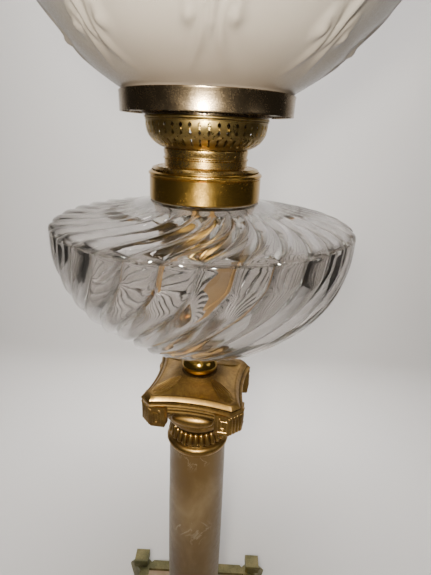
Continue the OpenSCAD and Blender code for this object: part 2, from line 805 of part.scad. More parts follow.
// The inner ring that drops over the rim of the basket.
module ring_hub() {
    skirt_out = basket_r - 2.4;
    color("#7d6a3a") turned([
        [hub_inner, hub_z - 4], [skirt_out, hub_z - 4], [skirt_out, hub_z], [hub_outer, hub_z],
        [hub_outer, hub_z + 1], [hub_inner, hub_z + 1]
    ]);
}

module ring_spokes() {
    spokes = 3;
    width = 6;
    color("#7d6a3a") for (k = [0 : spokes - 1])
        rotate(90 + 360 * k / spokes) translate([hub_outer - 2, -width / 2, hub_z + 1])
            cube([seat_inner + 2.5 - hub_outer + 2, width, seat_z - hub_z - 1]);
}

module shade() {
    z = shade_z;
    base = ring_top + 1.2;
    rise = shade_z + shade_h - base;
    r0 = ring_r + 0.6;
    wide = shade_r - r0;
    line = concat(
        [[fitter_r, z], [fitter_r, ring_top]],
        spline([
            [r0, base], [r0 + wide * 0.15, base + rise * 0.055],
            [r0 + wide * 0.36, base + rise * 0.133], [r0 + wide * 0.57, base + rise * 0.23],
            [r0 + wide * 0.765, base + rise * 0.335], [r0 + wide * 0.93, base + rise * 0.48],
            [shade_r, base + rise * 0.64], [shade_r - 3.6, base + rise * 0.82],
            [shade_r - 2, base + rise * 0.92], [shade_rim_r, base + rise]
        ], 4)
    );
    inner = [for (p = inset_line(line, shade_wall)) [p[0], max(p[1], z)]];
    color("#f2f1ec") turned(concat(line, reversed(inner)));
}

// ---- assembly ----

foot(225);  // foot_front_left
foot(315);  // foot_front_right
foot(135);  // foot_back_left
foot(45);  // foot_back_right
knob(225);  // knob_front_left
knob(315);  // knob_front_right
knob(135);  // knob_back_left
knob(45);  // knob_back_right
base_frame();
foot_screws();
stone_slab();
clamp_bar();
rod_washer();
rod_nut();
tie_rod();
column_foot();
column_shaft();
neck_ring();
capital();
capital_cap();
knuckle();
font_cup();
font();
neck_cement();
collar();
burner_flange();
burner_floor();
burner_drum();
wick_tube(-1);  // wick_tube_left
wick_tube(1);  // wick_tube_right
spindle_bushes();
spindle_bracket();
wick(-1);  // wick_left
wick(1);  // wick_right
spindle(-1);  // spindle_left
spindle(1);  // spindle_right
spur_wheels(-1);  // spur_wheels_left
spur_wheels(1);  // spur_wheels_right
winder_knob(-1);  // winder_knob_left
winder_knob(1);  // winder_knob_right
basket();
gallery_deck();
chimney_prongs();
burner_dome();
chimney();
shade_ring();
ring_hub();
ring_spokes();
shade();
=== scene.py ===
from math import pi, sin, cos, exp, atan2, hypot, radians
import bpy
import bmesh
from mathutils import Vector, Matrix


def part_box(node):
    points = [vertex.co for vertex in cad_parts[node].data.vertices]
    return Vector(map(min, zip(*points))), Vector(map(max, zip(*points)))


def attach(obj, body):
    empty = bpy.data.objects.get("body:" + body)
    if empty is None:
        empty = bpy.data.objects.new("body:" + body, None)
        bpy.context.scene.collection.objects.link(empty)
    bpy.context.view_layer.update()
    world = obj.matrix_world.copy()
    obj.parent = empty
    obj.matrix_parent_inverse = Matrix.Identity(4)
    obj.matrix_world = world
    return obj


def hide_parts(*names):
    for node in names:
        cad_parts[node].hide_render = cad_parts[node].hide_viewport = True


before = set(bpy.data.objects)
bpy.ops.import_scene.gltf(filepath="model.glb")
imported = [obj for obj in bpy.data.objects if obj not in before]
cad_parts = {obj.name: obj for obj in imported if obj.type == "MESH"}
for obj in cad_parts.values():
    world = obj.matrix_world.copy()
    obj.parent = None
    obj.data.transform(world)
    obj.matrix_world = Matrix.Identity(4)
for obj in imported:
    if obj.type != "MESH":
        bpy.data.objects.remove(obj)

scene = bpy.context.scene
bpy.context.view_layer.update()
mm = 0.001
print("frame loaded,", len(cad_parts), "parts")


# camera: a phone held close, a little above the collar
cameraSet = dict(away=271, height=512.2, turn=3, pitch=20.7, yaw=1.98, roll=2.39, lens=25.98)


def addCamera(c):
    pitch, yaw, roll, turn = (radians(c[k]) for k in ("pitch", "yaw", "roll", "turn"))
    ahead = Vector((sin(yaw) * cos(pitch), cos(yaw) * cos(pitch), -sin(pitch)))
    side = Vector((cos(yaw), -sin(yaw), 0))
    up = side.cross(ahead)
    x = side * cos(roll) + up * sin(roll)
    y = up * cos(roll) - side * sin(roll)
    facing = Matrix((x, y, -ahead)).transposed().to_4x4()
    place = Matrix.Translation((0, -c["away"] * mm, c["height"] * mm))
    cam = bpy.data.cameras.new("camera")
    cam.sensor_width = 36
    cam.lens = c["lens"]
    cam.clip_start = 0.01
    eye = bpy.data.objects.new("camera", cam)
    eye.matrix_world = Matrix.Rotation(turn, 4, "Z") @ place @ facing
    scene.collection.objects.link(eye)
    scene.camera = eye


addCamera(cameraSet)


def nodeBox(node):  # corners in millimetres, as the sizes of the pieces are
    lo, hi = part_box(node)
    return lo * 1000, hi * 1000


def smoothLine(points, steps=5):
    line = []
    last = len(points) - 1
    for i in range(last):
        a, b, c, d = (Vector(points[min(max(j, 0), last)]) for j in (i - 1, i, i + 1, i + 2))
        for k in range(steps):
            t = k / steps
            line.append(tuple(0.5 * (2 * b + (c - a) * t + (2 * a - 5 * b + 4 * c - d) * t * t
                                     + (3 * b - a - 3 * c + d) * t ** 3)))
    return line + [tuple(points[-1])]


def innerLine(line, wall):
    moved = []
    for i, p in enumerate(line):
        a, b = line[max(i - 1, 0)], line[min(i + 1, len(line) - 1)]
        way = Vector((b[0] - a[0], b[1] - a[1])).normalized()
        moved.append((p[0] - wall * way.y, p[1] + wall * way.x))
    return moved


def roundPart(x, z, r, start, stop, steps=6):
    return [(x + r * cos(radians(start + (stop - start) * k / steps)),
             z + r * sin(radians(start + (stop - start) * k / steps))) for k in range(steps + 1)]


def ease(t):
    t = min(max(t, 0), 1)
    return t * t * (3 - 2 * t)


def lathe(profile, steps, closed=False):
    bm = bmesh.new()
    row = bm.verts.layers.int.new("row")  # which point of the profile a vertex came from
    verts = [bm.verts.new((r * mm, 0, z * mm)) for r, z in profile]
    for i, v in enumerate(verts):
        v[row] = i
    edges = [bm.edges.new(pair) for pair in zip(verts, verts[1:])]
    if closed:
        edges.append(bm.edges.new((verts[-1], verts[0])))
    bmesh.ops.spin(bm, geom=verts + edges, cent=(0, 0, 0), axis=(0, 0, 1), angle=2 * pi,
                   steps=steps, use_merge=True)
    bmesh.ops.remove_doubles(bm, verts=bm.verts, dist=1e-7)
    bmesh.ops.dissolve_degenerate(bm, edges=bm.edges, dist=1e-7)
    return bm


def addTo(bm, other):
    spare = bpy.data.meshes.new("spare")
    other.to_mesh(spare)
    other.free()
    bm.from_mesh(spare)
    bpy.data.meshes.remove(spare)


def rod(points, radius, sides=6, taper=None):
    path = bpy.data.curves.new("path", "CURVE")
    path.dimensions = "3D"
    path.bevel_depth = radius * mm
    path.bevel_resolution = max(0, sides // 4 - 1)
    path.use_fill_caps = True
    spline = path.splines.new("POLY")
    spline.points.add(len(points) - 1)
    for i, (spot, p) in enumerate(zip(spline.points, points)):
        spot.co = (p[0] * mm, p[1] * mm, p[2] * mm, 1)
        spot.radius = taper(i / (len(points) - 1)) if taper else 1
    carrier = bpy.data.objects.new("path", path)
    mesh = bpy.data.meshes.new_from_object(carrier)
    bm = bmesh.new()
    bm.from_mesh(mesh)
    bmesh.ops.remove_doubles(bm, verts=bm.verts, dist=1e-6)
    bpy.data.objects.remove(carrier)
    bpy.data.curves.remove(path)
    bpy.data.meshes.remove(mesh)
    return bm


def makePiece(name, bm, finish, body, nodes=(), sharp=35):
    bmesh.ops.recalc_face_normals(bm, faces=bm.faces)
    mesh = bpy.data.meshes.new(name)
    bm.to_mesh(mesh)
    bm.free()
    mesh.polygons.foreach_set("use_smooth", [True] * len(mesh.polygons))
    mesh.set_sharp_from_angle(angle=radians(sharp))
    mesh.materials.append(finish)
    piece = bpy.data.objects.new(name, mesh)
    scene.collection.objects.link(piece)
    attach(piece, body)
    if nodes:
        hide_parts(*nodes)
    return piece


def addNode(tree, kind, settings=(), inputs=()):
    node = tree.nodes.new(kind)
    for key, value in dict(settings).items():
        setattr(node, key, value)
    for key, value in dict(inputs).items():
        if isinstance(value, bpy.types.NodeSocket):
            tree.links.new(value, node.inputs[key])
        else:
            node.inputs[key].default_value = value
    return node


def newGroup(name, ins, outs):
    tree = bpy.data.node_groups.new(name, "ShaderNodeTree")
    for label, kind in ins:
        tree.interface.new_socket(name=label, in_out="INPUT", socket_type="NodeSocket" + kind)
    for label, kind in outs:
        tree.interface.new_socket(name=label, in_out="OUTPUT", socket_type="NodeSocket" + kind)
    return tree, tree.nodes.new("NodeGroupInput").outputs, tree.nodes.new("NodeGroupOutput").inputs


def noise(tree, vector, scale, detail=5, rough=0.55, warp=0):
    return addNode(tree, "ShaderNodeTexNoise", inputs={
        "Vector": vector, "Scale": scale, "Detail": detail, "Roughness": rough,
        "Distortion": warp}).outputs[0]


def math(tree, operation, a, b=0.0):
    return addNode(tree, "ShaderNodeMath", {"operation": operation}, {0: a, 1: b}).outputs[0]


def spread(tree, value, low, high, toLow=0.0, toHigh=1.0):
    return addNode(tree, "ShaderNodeMapRange", {"interpolation_type": "SMOOTHSTEP"}, {
        "Value": value, "From Min": low, "From Max": high, "To Min": toLow, "To Max": toHigh}).outputs[0]


def blendColours(tree, amount, a, b, how="MIX"):
    return addNode(tree, "ShaderNodeMix", {"data_type": "RGBA", "blend_type": how},
                   {"Factor": amount, 6: a, 7: b}).outputs[2]


def makeTarnish():  # clean and tarnished metal in patches, with fine scratches
    tree, ins, outs = newGroup("tarnish", [
        ("Vector", "Vector"), ("Scale", "Float"), ("Amount", "Float"), ("Clean", "Color"),
        ("Tarnished", "Color"), ("Clean Roughness", "Float"), ("Tarnished Roughness", "Float")],
        [("Colour", "Color"), ("Roughness", "Float"), ("Height", "Float"), ("Mask", "Float")])
    link = tree.links.new
    patches = noise(tree, ins["Vector"], ins["Scale"], 8, 0.62, 0.4)
    specks = noise(tree, ins["Vector"], math(tree, "MULTIPLY", ins["Scale"], 11.0), 6, 0.65)
    both = math(tree, "ADD", math(tree, "MULTIPLY", patches, 0.72), math(tree, "MULTIPLY", specks, 0.28))
    start = math(tree, "SUBTRACT", 0.8, math(tree, "MULTIPLY", ins["Amount"], 0.6))
    mask = addNode(tree, "ShaderNodeMapRange", {"interpolation_type": "SMOOTHSTEP"}, {
        "Value": both, "From Min": math(tree, "SUBTRACT", start, 0.16),
        "From Max": math(tree, "ADD", start, 0.16)}).outputs[0]
    link(blendColours(tree, mask, ins["Clean"], ins["Tarnished"]), outs["Colour"])
    rough = addNode(tree, "ShaderNodeMapRange", {}, {
        "Value": mask, "To Min": ins["Clean Roughness"], "To Max": ins["Tarnished Roughness"]}).outputs[0]
    link(math(tree, "ADD", rough, math(tree, "MULTIPLY", math(tree, "SUBTRACT", specks, 0.5), 0.16)),
         outs["Roughness"])
    link(specks, outs["Height"])
    link(mask, outs["Mask"])
    return tree


def makeTurnedLines():  # the fine rings a spinning lathe leaves
    tree, ins, outs = newGroup("turnedLines", [("Vector", "Vector"), ("Density", "Float")],
                               [("Height", "Float")])
    xyz = addNode(tree, "ShaderNodeSeparateXYZ", inputs={0: ins["Vector"]}).outputs
    reach = math(tree, "SQRT", math(tree, "ADD", math(tree, "MULTIPLY", xyz[0], xyz[0]),
                                    math(tree, "MULTIPLY", xyz[1], xyz[1])))
    flat = addNode(tree, "ShaderNodeCombineXYZ", inputs={0: reach, 1: xyz[2], 2: 0.0}).outputs[0]
    tree.links.new(noise(tree, flat, ins["Density"], 3, 0.6), outs["Height"])
    return tree


tarnish = makeTarnish()
turnedLines = makeTurnedLines()


def useGroup(tree, group, inputs):
    return addNode(tree, "ShaderNodeGroup", {"node_tree": group}, inputs).outputs


def newFinish(name, fixed=()):
    mat = bpy.data.materials.new(name)
    mat.use_nodes = True
    tree = mat.node_tree
    tree.nodes.clear()
    shader = addNode(tree, "ShaderNodeBsdfPrincipled", inputs=fixed)
    out = addNode(tree, "ShaderNodeOutputMaterial", inputs={"Surface": shader.outputs[0]})
    spot = addNode(tree, "ShaderNodeTexCoord").outputs["Object"]
    return mat, tree, shader, spot, out


def addBump(tree, shader, height, depth, strength=1.0, before=None):
    settings = {"Height": height, "Distance": depth, "Strength": strength}
    if before:
        settings["Normal"] = before
    bump = addNode(tree, "ShaderNodeBump", inputs=settings).outputs[0]
    tree.links.new(bump, shader.inputs["Normal"])
    return bump


def metalFinish(name, clean, tarnished, smooth, dull, amount, scale=55, lines=0.0, pits=0.00002,
                shadeAndGrimeColour=None):
    mat, tree, shader, spot, out = newFinish(name, {"Metallic": 1.0})
    t = useGroup(tree, tarnish, {
        "Vector": spot, "Scale": scale, "Amount": amount, "Clean": (*clean, 1), "Tarnished": (*tarnished, 1),
        "Clean Roughness": smooth, "Tarnished Roughness": dull})
    colour, rough = t["Colour"], t["Roughness"]
    if shadeAndGrimeColour:  # painted shade in the hollows, creases and undersides, with some grime, painted on the piece as an attribute
        shadeAndGrime = addNode(tree, "ShaderNodeAttribute", {"attribute_name": "shadeAndGrime"}).outputs["Fac"]
        shadedGrime = math(tree, "MULTIPLY", shadeAndGrime, spread(tree, t["Height"], 0.2, 0.6, 0.65, 1.0))
        colour = blendColours(tree, shadedGrime, colour, (*shadeAndGrimeColour, 1))
        rough = addNode(tree, "ShaderNodeMapRange", inputs={
            "Value": shadedGrime, "To Min": rough, "To Max": 0.75}).outputs[0]
    tree.links.new(colour, shader.inputs["Base Color"])
    tree.links.new(rough, shader.inputs["Roughness"])
    bump = addBump(tree, shader, t["Height"], pits)
    if lines:
        rings = useGroup(tree, turnedLines, {"Vector": spot, "Density": 2600.0})["Height"]
        addBump(tree, shader, rings, lines, before=bump)
    return mat


finishes = dict(
    collarBrass=metalFinish("collarBrass", (0.52, 0.32, 0.07), (0.43, 0.255, 0.055), 0.2, 0.27, 0.42, 90,
                            0.00002),
    drumBrass=metalFinish("drumBrass", (0.50, 0.34, 0.11), (0.36, 0.23, 0.075), 0.22, 0.3, 0.5, 90,
                          0.00002),
    ringBronze=metalFinish("ringBronze", (0.31, 0.235, 0.145), (0.23, 0.17, 0.10), 0.2, 0.29, 0.5, 130,
                           0.00002),
    basketBrass=metalFinish("basketBrass", (0.34, 0.25, 0.09), (0.18, 0.12, 0.04), 0.27, 0.4, 0.5, 110),
    # the last colour of gilt and greenGilt is painted shade, with some grime, for the hollows and undersides
    gilt=metalFinish("gilt", (0.45, 0.275, 0.08), (0.23, 0.14, 0.045), 0.28, 0.4, 0.55, 90, 0.0, 0.00004,
                     (0.03, 0.018, 0.007)),
    greenGilt=metalFinish("greenGilt", (0.27, 0.23, 0.11), (0.13, 0.13, 0.07), 0.42, 0.6, 0.55, 60, 0.0,
                          0.00006, (0.03, 0.03, 0.018)),
    knuckleBrass=metalFinish("knuckleBrass", (0.62, 0.40, 0.09), (0.42, 0.25, 0.055), 0.12, 0.24, 0.36, 60,
                             0.00002),
    # a darkened copy of the brass: painted shade for the parts deep inside the burner
    shadedInnerBrass=metalFinish("shadedInnerBrass", (0.12, 0.085, 0.035), (0.05, 0.035, 0.018), 0.34, 0.55, 0.55, 80),
    steel=metalFinish("steel", (0.45, 0.44, 0.41), (0.22, 0.17, 0.13), 0.3, 0.6, 0.5, 90, 0.00002),
    castIron=metalFinish("castIron", (0.10, 0.095, 0.09), (0.12, 0.06, 0.03), 0.6, 0.85, 0.5, 120, 0.0,
                         0.0002),
)


def makeOnyx(name, dark, warm, cloud, veinAmount):
    mat, tree, shader, spot, out = newFinish(name, {
        "Coat Weight": 0.05, "Coat Roughness": 0.2, "Specular IOR Level": 0.35, "Subsurface Weight": 0.05,
        "Subsurface Radius": (0.006, 0.004, 0.002), "Subsurface Scale": 1.0})
    drift = addNode(tree, "ShaderNodeMapping", inputs={"Vector": spot, "Scale": (1.0, 1.0, 0.45)}).outputs[0]
    clouds = noise(tree, drift, 22.0, 6, 0.55, 0.6)
    banks = noise(tree, drift, 9.0, 3, 0.5, 0.3)
    grains = noise(tree, spot, 260.0, 4, 0.6)
    base = blendColours(tree, spread(tree, banks, 0.36, 0.62), (*dark, 1), (*warm, 1))
    base = blendColours(tree, spread(tree, clouds, 0.46, 0.72, 0.0, 0.85), base, (*cloud, 1))
    line = math(tree, "ABSOLUTE", math(tree, "SUBTRACT", noise(tree, spot, 38.0, 6, 0.6, 0.9), 0.5))
    thin = spread(tree, line, 0.0, 0.02, 0.7, 0.0)
    patch = spread(tree, noise(tree, spot, 17.0, 2, 0.5), 0.56, 0.68)
    veins = math(tree, "MULTIPLY", math(tree, "MULTIPLY", thin, patch), veinAmount)
    base = blendColours(tree, veins, base, (0.75, 0.68, 0.52, 1))
    base = blendColours(tree, spread(tree, grains, 0.3, 0.75, 0.0, 0.08), base, (0.10, 0.06, 0.02, 1))
    tree.links.new(base, shader.inputs["Base Color"])
    tree.links.new(spread(tree, grains, 0.3, 0.7, 0.32, 0.42), shader.inputs["Roughness"])
    addBump(tree, shader, clouds, 0.00003)
    return mat


finishes["onyx"] = makeOnyx("onyx", (0.078, 0.043, 0.010), (0.13, 0.08, 0.025), (0.23, 0.165, 0.083), 0.3)
finishes["paleOnyx"] = makeOnyx("paleOnyx", (0.26, 0.19, 0.11), (0.38, 0.27, 0.18), (0.52, 0.42, 0.32), 0.5)


def makeGlass(name, tint, ripple, depth, edge=0.0):
    mat, tree, shader, spot, out = newFinish(name, {"Transmission Weight": 1.0, "IOR": 1.5})
    long = addNode(tree, "ShaderNodeMapping", inputs={"Vector": spot, "Scale": (1.0, 1.0, 0.35)}).outputs[0]
    waves = noise(tree, long, ripple, 3, 0.5, 0.3)
    dust = noise(tree, spot, 420.0, 5, 0.6)
    colour = blendColours(tree, spread(tree, waves, 0.3, 0.7), (*tint, 1), (0.74, 0.71, 0.685, 1))
    # painted shade: the glass colour is darkened at its grazing edges and in the rib grooves (thick carries
    # this painted shade)
    grooveShade = addNode(tree, "ShaderNodeAttribute", {"attribute_name": "grooveShade"}).outputs["Fac"]
    rim = addNode(tree, "ShaderNodeLayerWeight", inputs={"Blend": 0.5}).outputs["Facing"]
    thick = math(tree, "MAXIMUM", spread(tree, rim, 0.4, 0.85, 0.0, edge),
                 math(tree, "MULTIPLY", grooveShade, 0.65))
    colour = blendColours(tree, thick, colour, (0.16, 0.145, 0.125, 1))
    tree.links.new(colour, shader.inputs["Base Color"])
    tree.links.new(spread(tree, dust, 0.5, 0.8, 0.0, 0.05), shader.inputs["Roughness"])
    addBump(tree, shader, waves, depth)
    path = addNode(tree, "ShaderNodeLightPath").outputs
    trapped = math(tree, "GREATER_THAN", path["Ray Depth"], 4.5)
    through = math(tree, "MAXIMUM", math(tree, "MULTIPLY", path["Is Shadow Ray"], 0.85), trapped)
    clear = addNode(tree, "ShaderNodeBsdfTransparent", inputs={"Color": (0.93, 0.93, 0.92, 1)})
    mixed = addNode(tree, "ShaderNodeMixShader", inputs={
        0: through, 1: shader.outputs[0], 2: clear.outputs[0]})
    tree.links.new(mixed.outputs[0], out.inputs["Surface"])
    return mat


# fontGlass's 0.85 is the strength of the painted shade at its grazing edges
finishes["fontGlass"] = makeGlass("fontGlass", (0.66, 0.63, 0.605), 34.0, 0.00006, 0.85)
finishes["chimneyGlass"] = makeGlass("chimneyGlass", (0.96, 0.97, 0.965), 24.0, 0.00008)


def makeOpal():
    mat, tree, shader, spot, out = newFinish("opalGlass", {
        "Coat Weight": 0.3, "Coat Roughness": 0.22, "Subsurface Weight": 0.1,
        "Subsurface Radius": (0.006, 0.005, 0.004), "Subsurface Scale": 1.0})
    milk = noise(tree, spot, 16.0, 4, 0.5, 0.4)
    frost = noise(tree, spot, 900.0, 3, 0.5)
    film = noise(tree, spot, 60.0, 6, 0.6)
    # painted shade: dark at the foot by the ring, lighter higher up the shade
    height = addNode(tree, "ShaderNodeSeparateXYZ", inputs={0: spot}).outputs[2]
    foot = nodeBox("shade_ring")[1].z * mm
    up = spread(tree, math(tree, "ADD", height, math(tree, "MULTIPLY", milk, 0.012)), foot, foot + 0.055)
    colour = blendColours(tree, up, (0.165, 0.133, 0.10, 1), (0.36, 0.332, 0.288, 1))
    # painted shade at the grazing edges
    rim = addNode(tree, "ShaderNodeLayerWeight", inputs={"Blend": 0.35}).outputs["Facing"]
    colour = blendColours(tree, spread(tree, rim, 0.15, 0.9, 0.0, 0.6), colour, (0.10, 0.085, 0.065, 1))
    colour = blendColours(tree, spread(tree, film, 0.55, 0.85, 0.0, 0.2), colour, (0.40, 0.38, 0.33, 1))
    tree.links.new(colour, shader.inputs["Base Color"])
    tree.links.new(spread(tree, frost, 0.3, 0.7, 0.3, 0.42), shader.inputs["Roughness"])
    addBump(tree, shader, milk, 0.0004, 0.6)
    return mat


finishes["opalGlass"] = makeOpal()


def makePlaster():
    mat, tree, shader, spot, out = newFinish("plaster")
    crumbs = noise(tree, spot, 300.0, 6, 0.7)
    colour = blendColours(tree, crumbs, (0.52, 0.47, 0.38, 1), (0.78, 0.74, 0.65, 1))
    tree.links.new(colour, shader.inputs["Base Color"])
    tree.links.new(spread(tree, crumbs, 0.3, 0.7, 0.75, 0.95), shader.inputs["Roughness"])
    addBump(tree, shader, crumbs, 0.0003)
    return mat


def makeCotton():  # woven tape: two crossing waves, scorched at the top
    mat, tree, shader, spot, out = newFinish("wickCotton", {"Sheen Weight": 0.3, "Sheen Roughness": 0.5})
    warpWave = addNode(tree, "ShaderNodeTexWave", {"bands_direction": "Y"},
                       {"Vector": spot, "Scale": 260.0, "Distortion": 0.6}).outputs["Fac"]
    weftWave = addNode(tree, "ShaderNodeTexWave", {"bands_direction": "Z"},
                       {"Vector": spot, "Scale": 300.0, "Distortion": 0.6}).outputs["Fac"]
    weave = math(tree, "MULTIPLY", warpWave, weftWave)
    height = addNode(tree, "ShaderNodeSeparateXYZ", inputs={0: spot}).outputs[2]
    top = nodeBox("wick_left")[1].z * mm
    charred = spread(tree, height, top - 0.0022, top - 0.0004)
    colour = blendColours(tree, weave, (0.20, 0.11, 0.025, 1), (0.50, 0.30, 0.075, 1))
    colour = blendColours(tree, charred, colour, (0.02, 0.017, 0.014, 1))
    tree.links.new(colour, shader.inputs["Base Color"])
    tree.links.new(spread(tree, weave, 0.0, 1.0, 0.95, 0.8), shader.inputs["Roughness"])
    addBump(tree, shader, weave, 0.0002)
    return mat


finishes["plaster"] = makePlaster()
finishes["wickCotton"] = makeCotton()
print("finishes made:", len(finishes))


# reservoir: a bowl with swirled ribs. swirl pairs the way down from the edge with a rib's turn there
fontSet = dict(wall=4, ribs=32, perRib=12, ribDepth=3.1, ribStart=43, ribPhase=-88.2, topTurn=-24, edge=2.2,
               follow=0.15)
swirl = [(0, 0), (12, -1.4), (26.4, -6.9), (40.6, -16.2), (59.7, -28), (78.2, -41.5), (102, -62), (130, -86)]


def lookUp(table, value):
    for (a, p), (b, q) in zip(table, table[1:]):
        if value <= b:
            return p + (q - p) * (value - a) / (b - a)
    return table[-1][1]


def makeFont(s):
    lo, hi = nodeBox("font")
    pegBase, neckTop, reach = lo.z, hi.z, hi.x
    base, shoulder = pegBase + 8, neckTop - 6 - 14.8
    collarZ = neckTop - 6
    deep = shoulder - base
    bowl = smoothLine([
        (reach * 0.16, base), (reach * 0.42, base + deep * 0.06), (reach * 0.6, base + deep * 0.155),
        (reach * 0.705, base + deep * 0.25), (reach * 0.84, base + deep * 0.4),
        (reach * 0.936, base + deep * 0.58), (reach * 0.99, base + deep * 0.79),
        (reach, shoulder - s["edge"])], 8)
    cap = smoothLine([
        (reach - 0.4, shoulder - 0.5), (reach - 2.2, shoulder + 1.2), (reach * 0.9, shoulder + 4.2),
        (58.2, shoulder + 8.9), (43.2, shoulder + 12.1), (35.5, collarZ - 0.7)], 7)
    outer = bowl + cap + [(31.4, collarZ - 0.2), (31.4, neckTop)]
    inner = innerLine(bowl + cap, s["wall"])
    keep = [p[1] < collarZ - 4.2 for p in inner]
    inner = [p for p, k in zip(inner, keep) if k] + [(27.4, collarZ - 4), (27.4, neckTop)]
    middle = smoothLine([(10.9, pegBase), (11, base - 1), (reach * 0.16, base)], 2)[:-1]
    profile = [(0, pegBase)] + middle + outer + inner[::-1] + [(0, inner[0][1])]
    bm = lathe(profile, s["ribs"] * s["perRib"])
    line = bowl + cap
    spots = [(0, 0)] * (1 + len(middle)) + [(i, 1) for i in range(len(line))] + [(len(line) - 1, 0)] * 4
    spots += [(i, s["follow"]) for i, k in enumerate(keep) if k][::-1] + [(0, 0)]
    row = bm.verts.layers.int["row"]
    grooveShade = bm.verts.layers.float.new("grooveShade")
    runs = [0]
    for a, b in zip(line, line[1:]):
        runs.append(runs[-1] + hypot(b[0] - a[0], b[1] - a[1]))
    edgeRun = runs[len(bowl) - 1]
    for v in bm.verts:
        r, z = hypot(v.co.x, v.co.y) / mm, v.co.z / mm
        if r < 0.01:
            continue
        i, share = spots[v[row]]
        run, r0 = runs[i], line[i][0]
        if run <= edgeRun:
            turn = lookUp(swirl, edgeRun - run)
            full = ease((r0 - 16) / 26)
        else:
            part = min(max((reach - r0) / (reach - s["ribStart"]), 0), 1)
            turn = -s["topTurn"] * (1 - (1 - part) ** 1.35)
            full = 1
        column = round(atan2(v.co.y, v.co.x) / (2 * pi) * s["ribs"] * s["perRib"])
        bulge = abs(sin(pi * column / s["perRib"])) ** 0.6  # every rib keeps its own columns of the mesh
        angle = 2 * pi * column / (s["ribs"] * s["perRib"]) + radians(s["ribPhase"] + turn)
        if run > edgeRun:
            full = ease((r0 - s["ribStart"] + 1 - 4.5 * (1 - bulge)) / 7)
        push = s["ribDepth"] * full * (1 - bulge) * share
        p, q = line[max(i - 1, 0)], line[min(i + 1, len(line) - 1)]
        way = Vector((q[0] - p[0], q[1] - p[1])).normalized()
        newR, newZ = r - push * way.y, z + push * way.x
        v.co = (newR * mm * cos(angle), newR * mm * sin(angle), newZ * mm)
        # grooveShade: painted shade in the rib valleys, read by the glass material
        v[grooveShade] = full * (1 - bulge) ** 2 if share == 1 else 0
    makePiece("reservoirGlass", bm, finishes["fontGlass"], "stand", ["font"], 60)


makeFont(fontSet)
print("reservoir made")


def lengthwise(bm):
    return [e for e in bm.edges if abs((e.verts[0].co - e.verts[1].co).y) > 0.1]


def makeCollar():
    lo, hi = nodeBox("collar")
    r, z, h = 35, lo.z, hi.z - lo.z
    bm = lathe([(r - 1, z), (r - 0.3, z), (r + 0.05, z + 0.4), (r + 0.05, z + 0.9), (r, z + 1.2),
                (r, z + h - 4), (r - 0.45, z + h - 3.7), (r - 0.45, z + h - 3.3)]
               + roundPart(r - 0.6, z + h - 2, 1.2, -80, 80, 8)
               + [(r - 0.9, z + h - 0.5), (r - 1, z + h - 0.1), (r - 1.4, z + h), (r - 1.4, z + h - 2)],
               160, True)
    for turn in (0, 180):  # the two ledges the burner's ears lock under
        arm = bmesh.new()
        bmesh.ops.create_cube(arm, size=1)
        bmesh.ops.bisect_plane(arm, geom=arm.verts[:] + arm.edges[:] + arm.faces[:], plane_co=(0, 0, 0),
                               plane_no=(0, 1, 0))
        bmesh.ops.subdivide_edges(arm, edges=lengthwise(arm), cuts=7)
        for v in arm.verts:
            a = radians(turn + 15 + 46 * (v.co.y + 0.5))
            reach = (r - 1.65 + 1.7 * v.co.x) * mm
            v.co = (reach * cos(a), reach * sin(a), (z + h * 0.62 + 1 + 2 * v.co.z) * mm)
        addTo(bm, arm)
    makePiece("collarBand", bm, finishes["collarBrass"], "stand", ["collar"])


def makeDrum():
    lo, hi = nodeBox("burner_flange")
    top = hi.z
    flange = top - 2.4
    plate = lathe([(23, flange + 0.1), (32.9, flange), (33.4, flange + 0.25), (33.4, flange + 0.6)]
                  + roundPart(32.6, flange + 0.75, 0.5, 0, 100, 4)
                  + [(32, flange + 1), (31.6, flange + 1.05)]
                  + roundPart(30.9, flange + 1.35, 0.55, 0, 110, 4)
                  + [(30.1, flange + 1.5), (28.8, flange + 1.6), (27.4, flange + 2), (26.8, top), (23, top)],
                  160, True)
    skirt = lathe([(32, flange + 0.3), (32, lo.z), (31.2, lo.z), (31.2, flange + 0.3)], 120, True)
    addTo(plate, skirt)
    for turn in (0, 180):
        ear = bmesh.new()
        bmesh.ops.create_cube(ear, size=1)
        bmesh.ops.subdivide_edges(ear, edges=lengthwise(ear), cuts=5)
        for v in ear.verts:
            a = radians(turn + 20 * v.co.y)
            reach = (32.5 + 1.8 * v.co.x) * mm
            v.co = (reach * cos(a), reach * sin(a), (lo.z + 1.05 + 2 * v.co.z) * mm)
        addTo(plate, ear)
    makePiece("burnerFlange", plate, finishes["drumBrass"], "burner", ["burner_flange"])

    lo, hi = nodeBox("burner_drum")
    z, h = lo.z, hi.z - lo.z
    bm = lathe([(25, z), (25.8, z), (25.75, z + h * 0.36)] + roundPart(25.75, z + h * 0.44, 0.65, -80, 80, 6)
               + [(25.7, z + h * 0.52), (25.65, z + h * 0.62), (25.9, z + h * 0.68), (26.1, z + h * 0.82)]
               + roundPart(25.5, z + h - 0.7, 0.7, 0, 90, 4) + [(25, z + h)], 160, True)
    makePiece("burnerDrum", bm, finishes["drumBrass"], "burner", ["burner_drum"])


basketSet = dict(slots=44, turn=-93, wall=0.8)
# half outlines of the basket's holes: (share of a slot's pitch, millimetres up the wall)
tallHole = [(0, 12.4), (0.1, 12.9), (0.177, 13.4), (0.16, 13.9), (0.09, 14.4), (0.078, 15.3), (0.078, 16.2),
            (0.11, 16.8), (0.19, 17.2), (0.215, 17.8), (0.19, 18.3), (0.11, 18.8), (0.045, 19.2), (0, 19.4)]
lowHole = [(0, 3.9), (0.13, 4.3), (0.18, 5), (0.16, 5.8), (0.085, 6.6), (0.075, 7.5), (0.12, 8.2),
           (0.145, 8.9), (0.12, 9.6), (0.05, 10), (0, 10.1)]


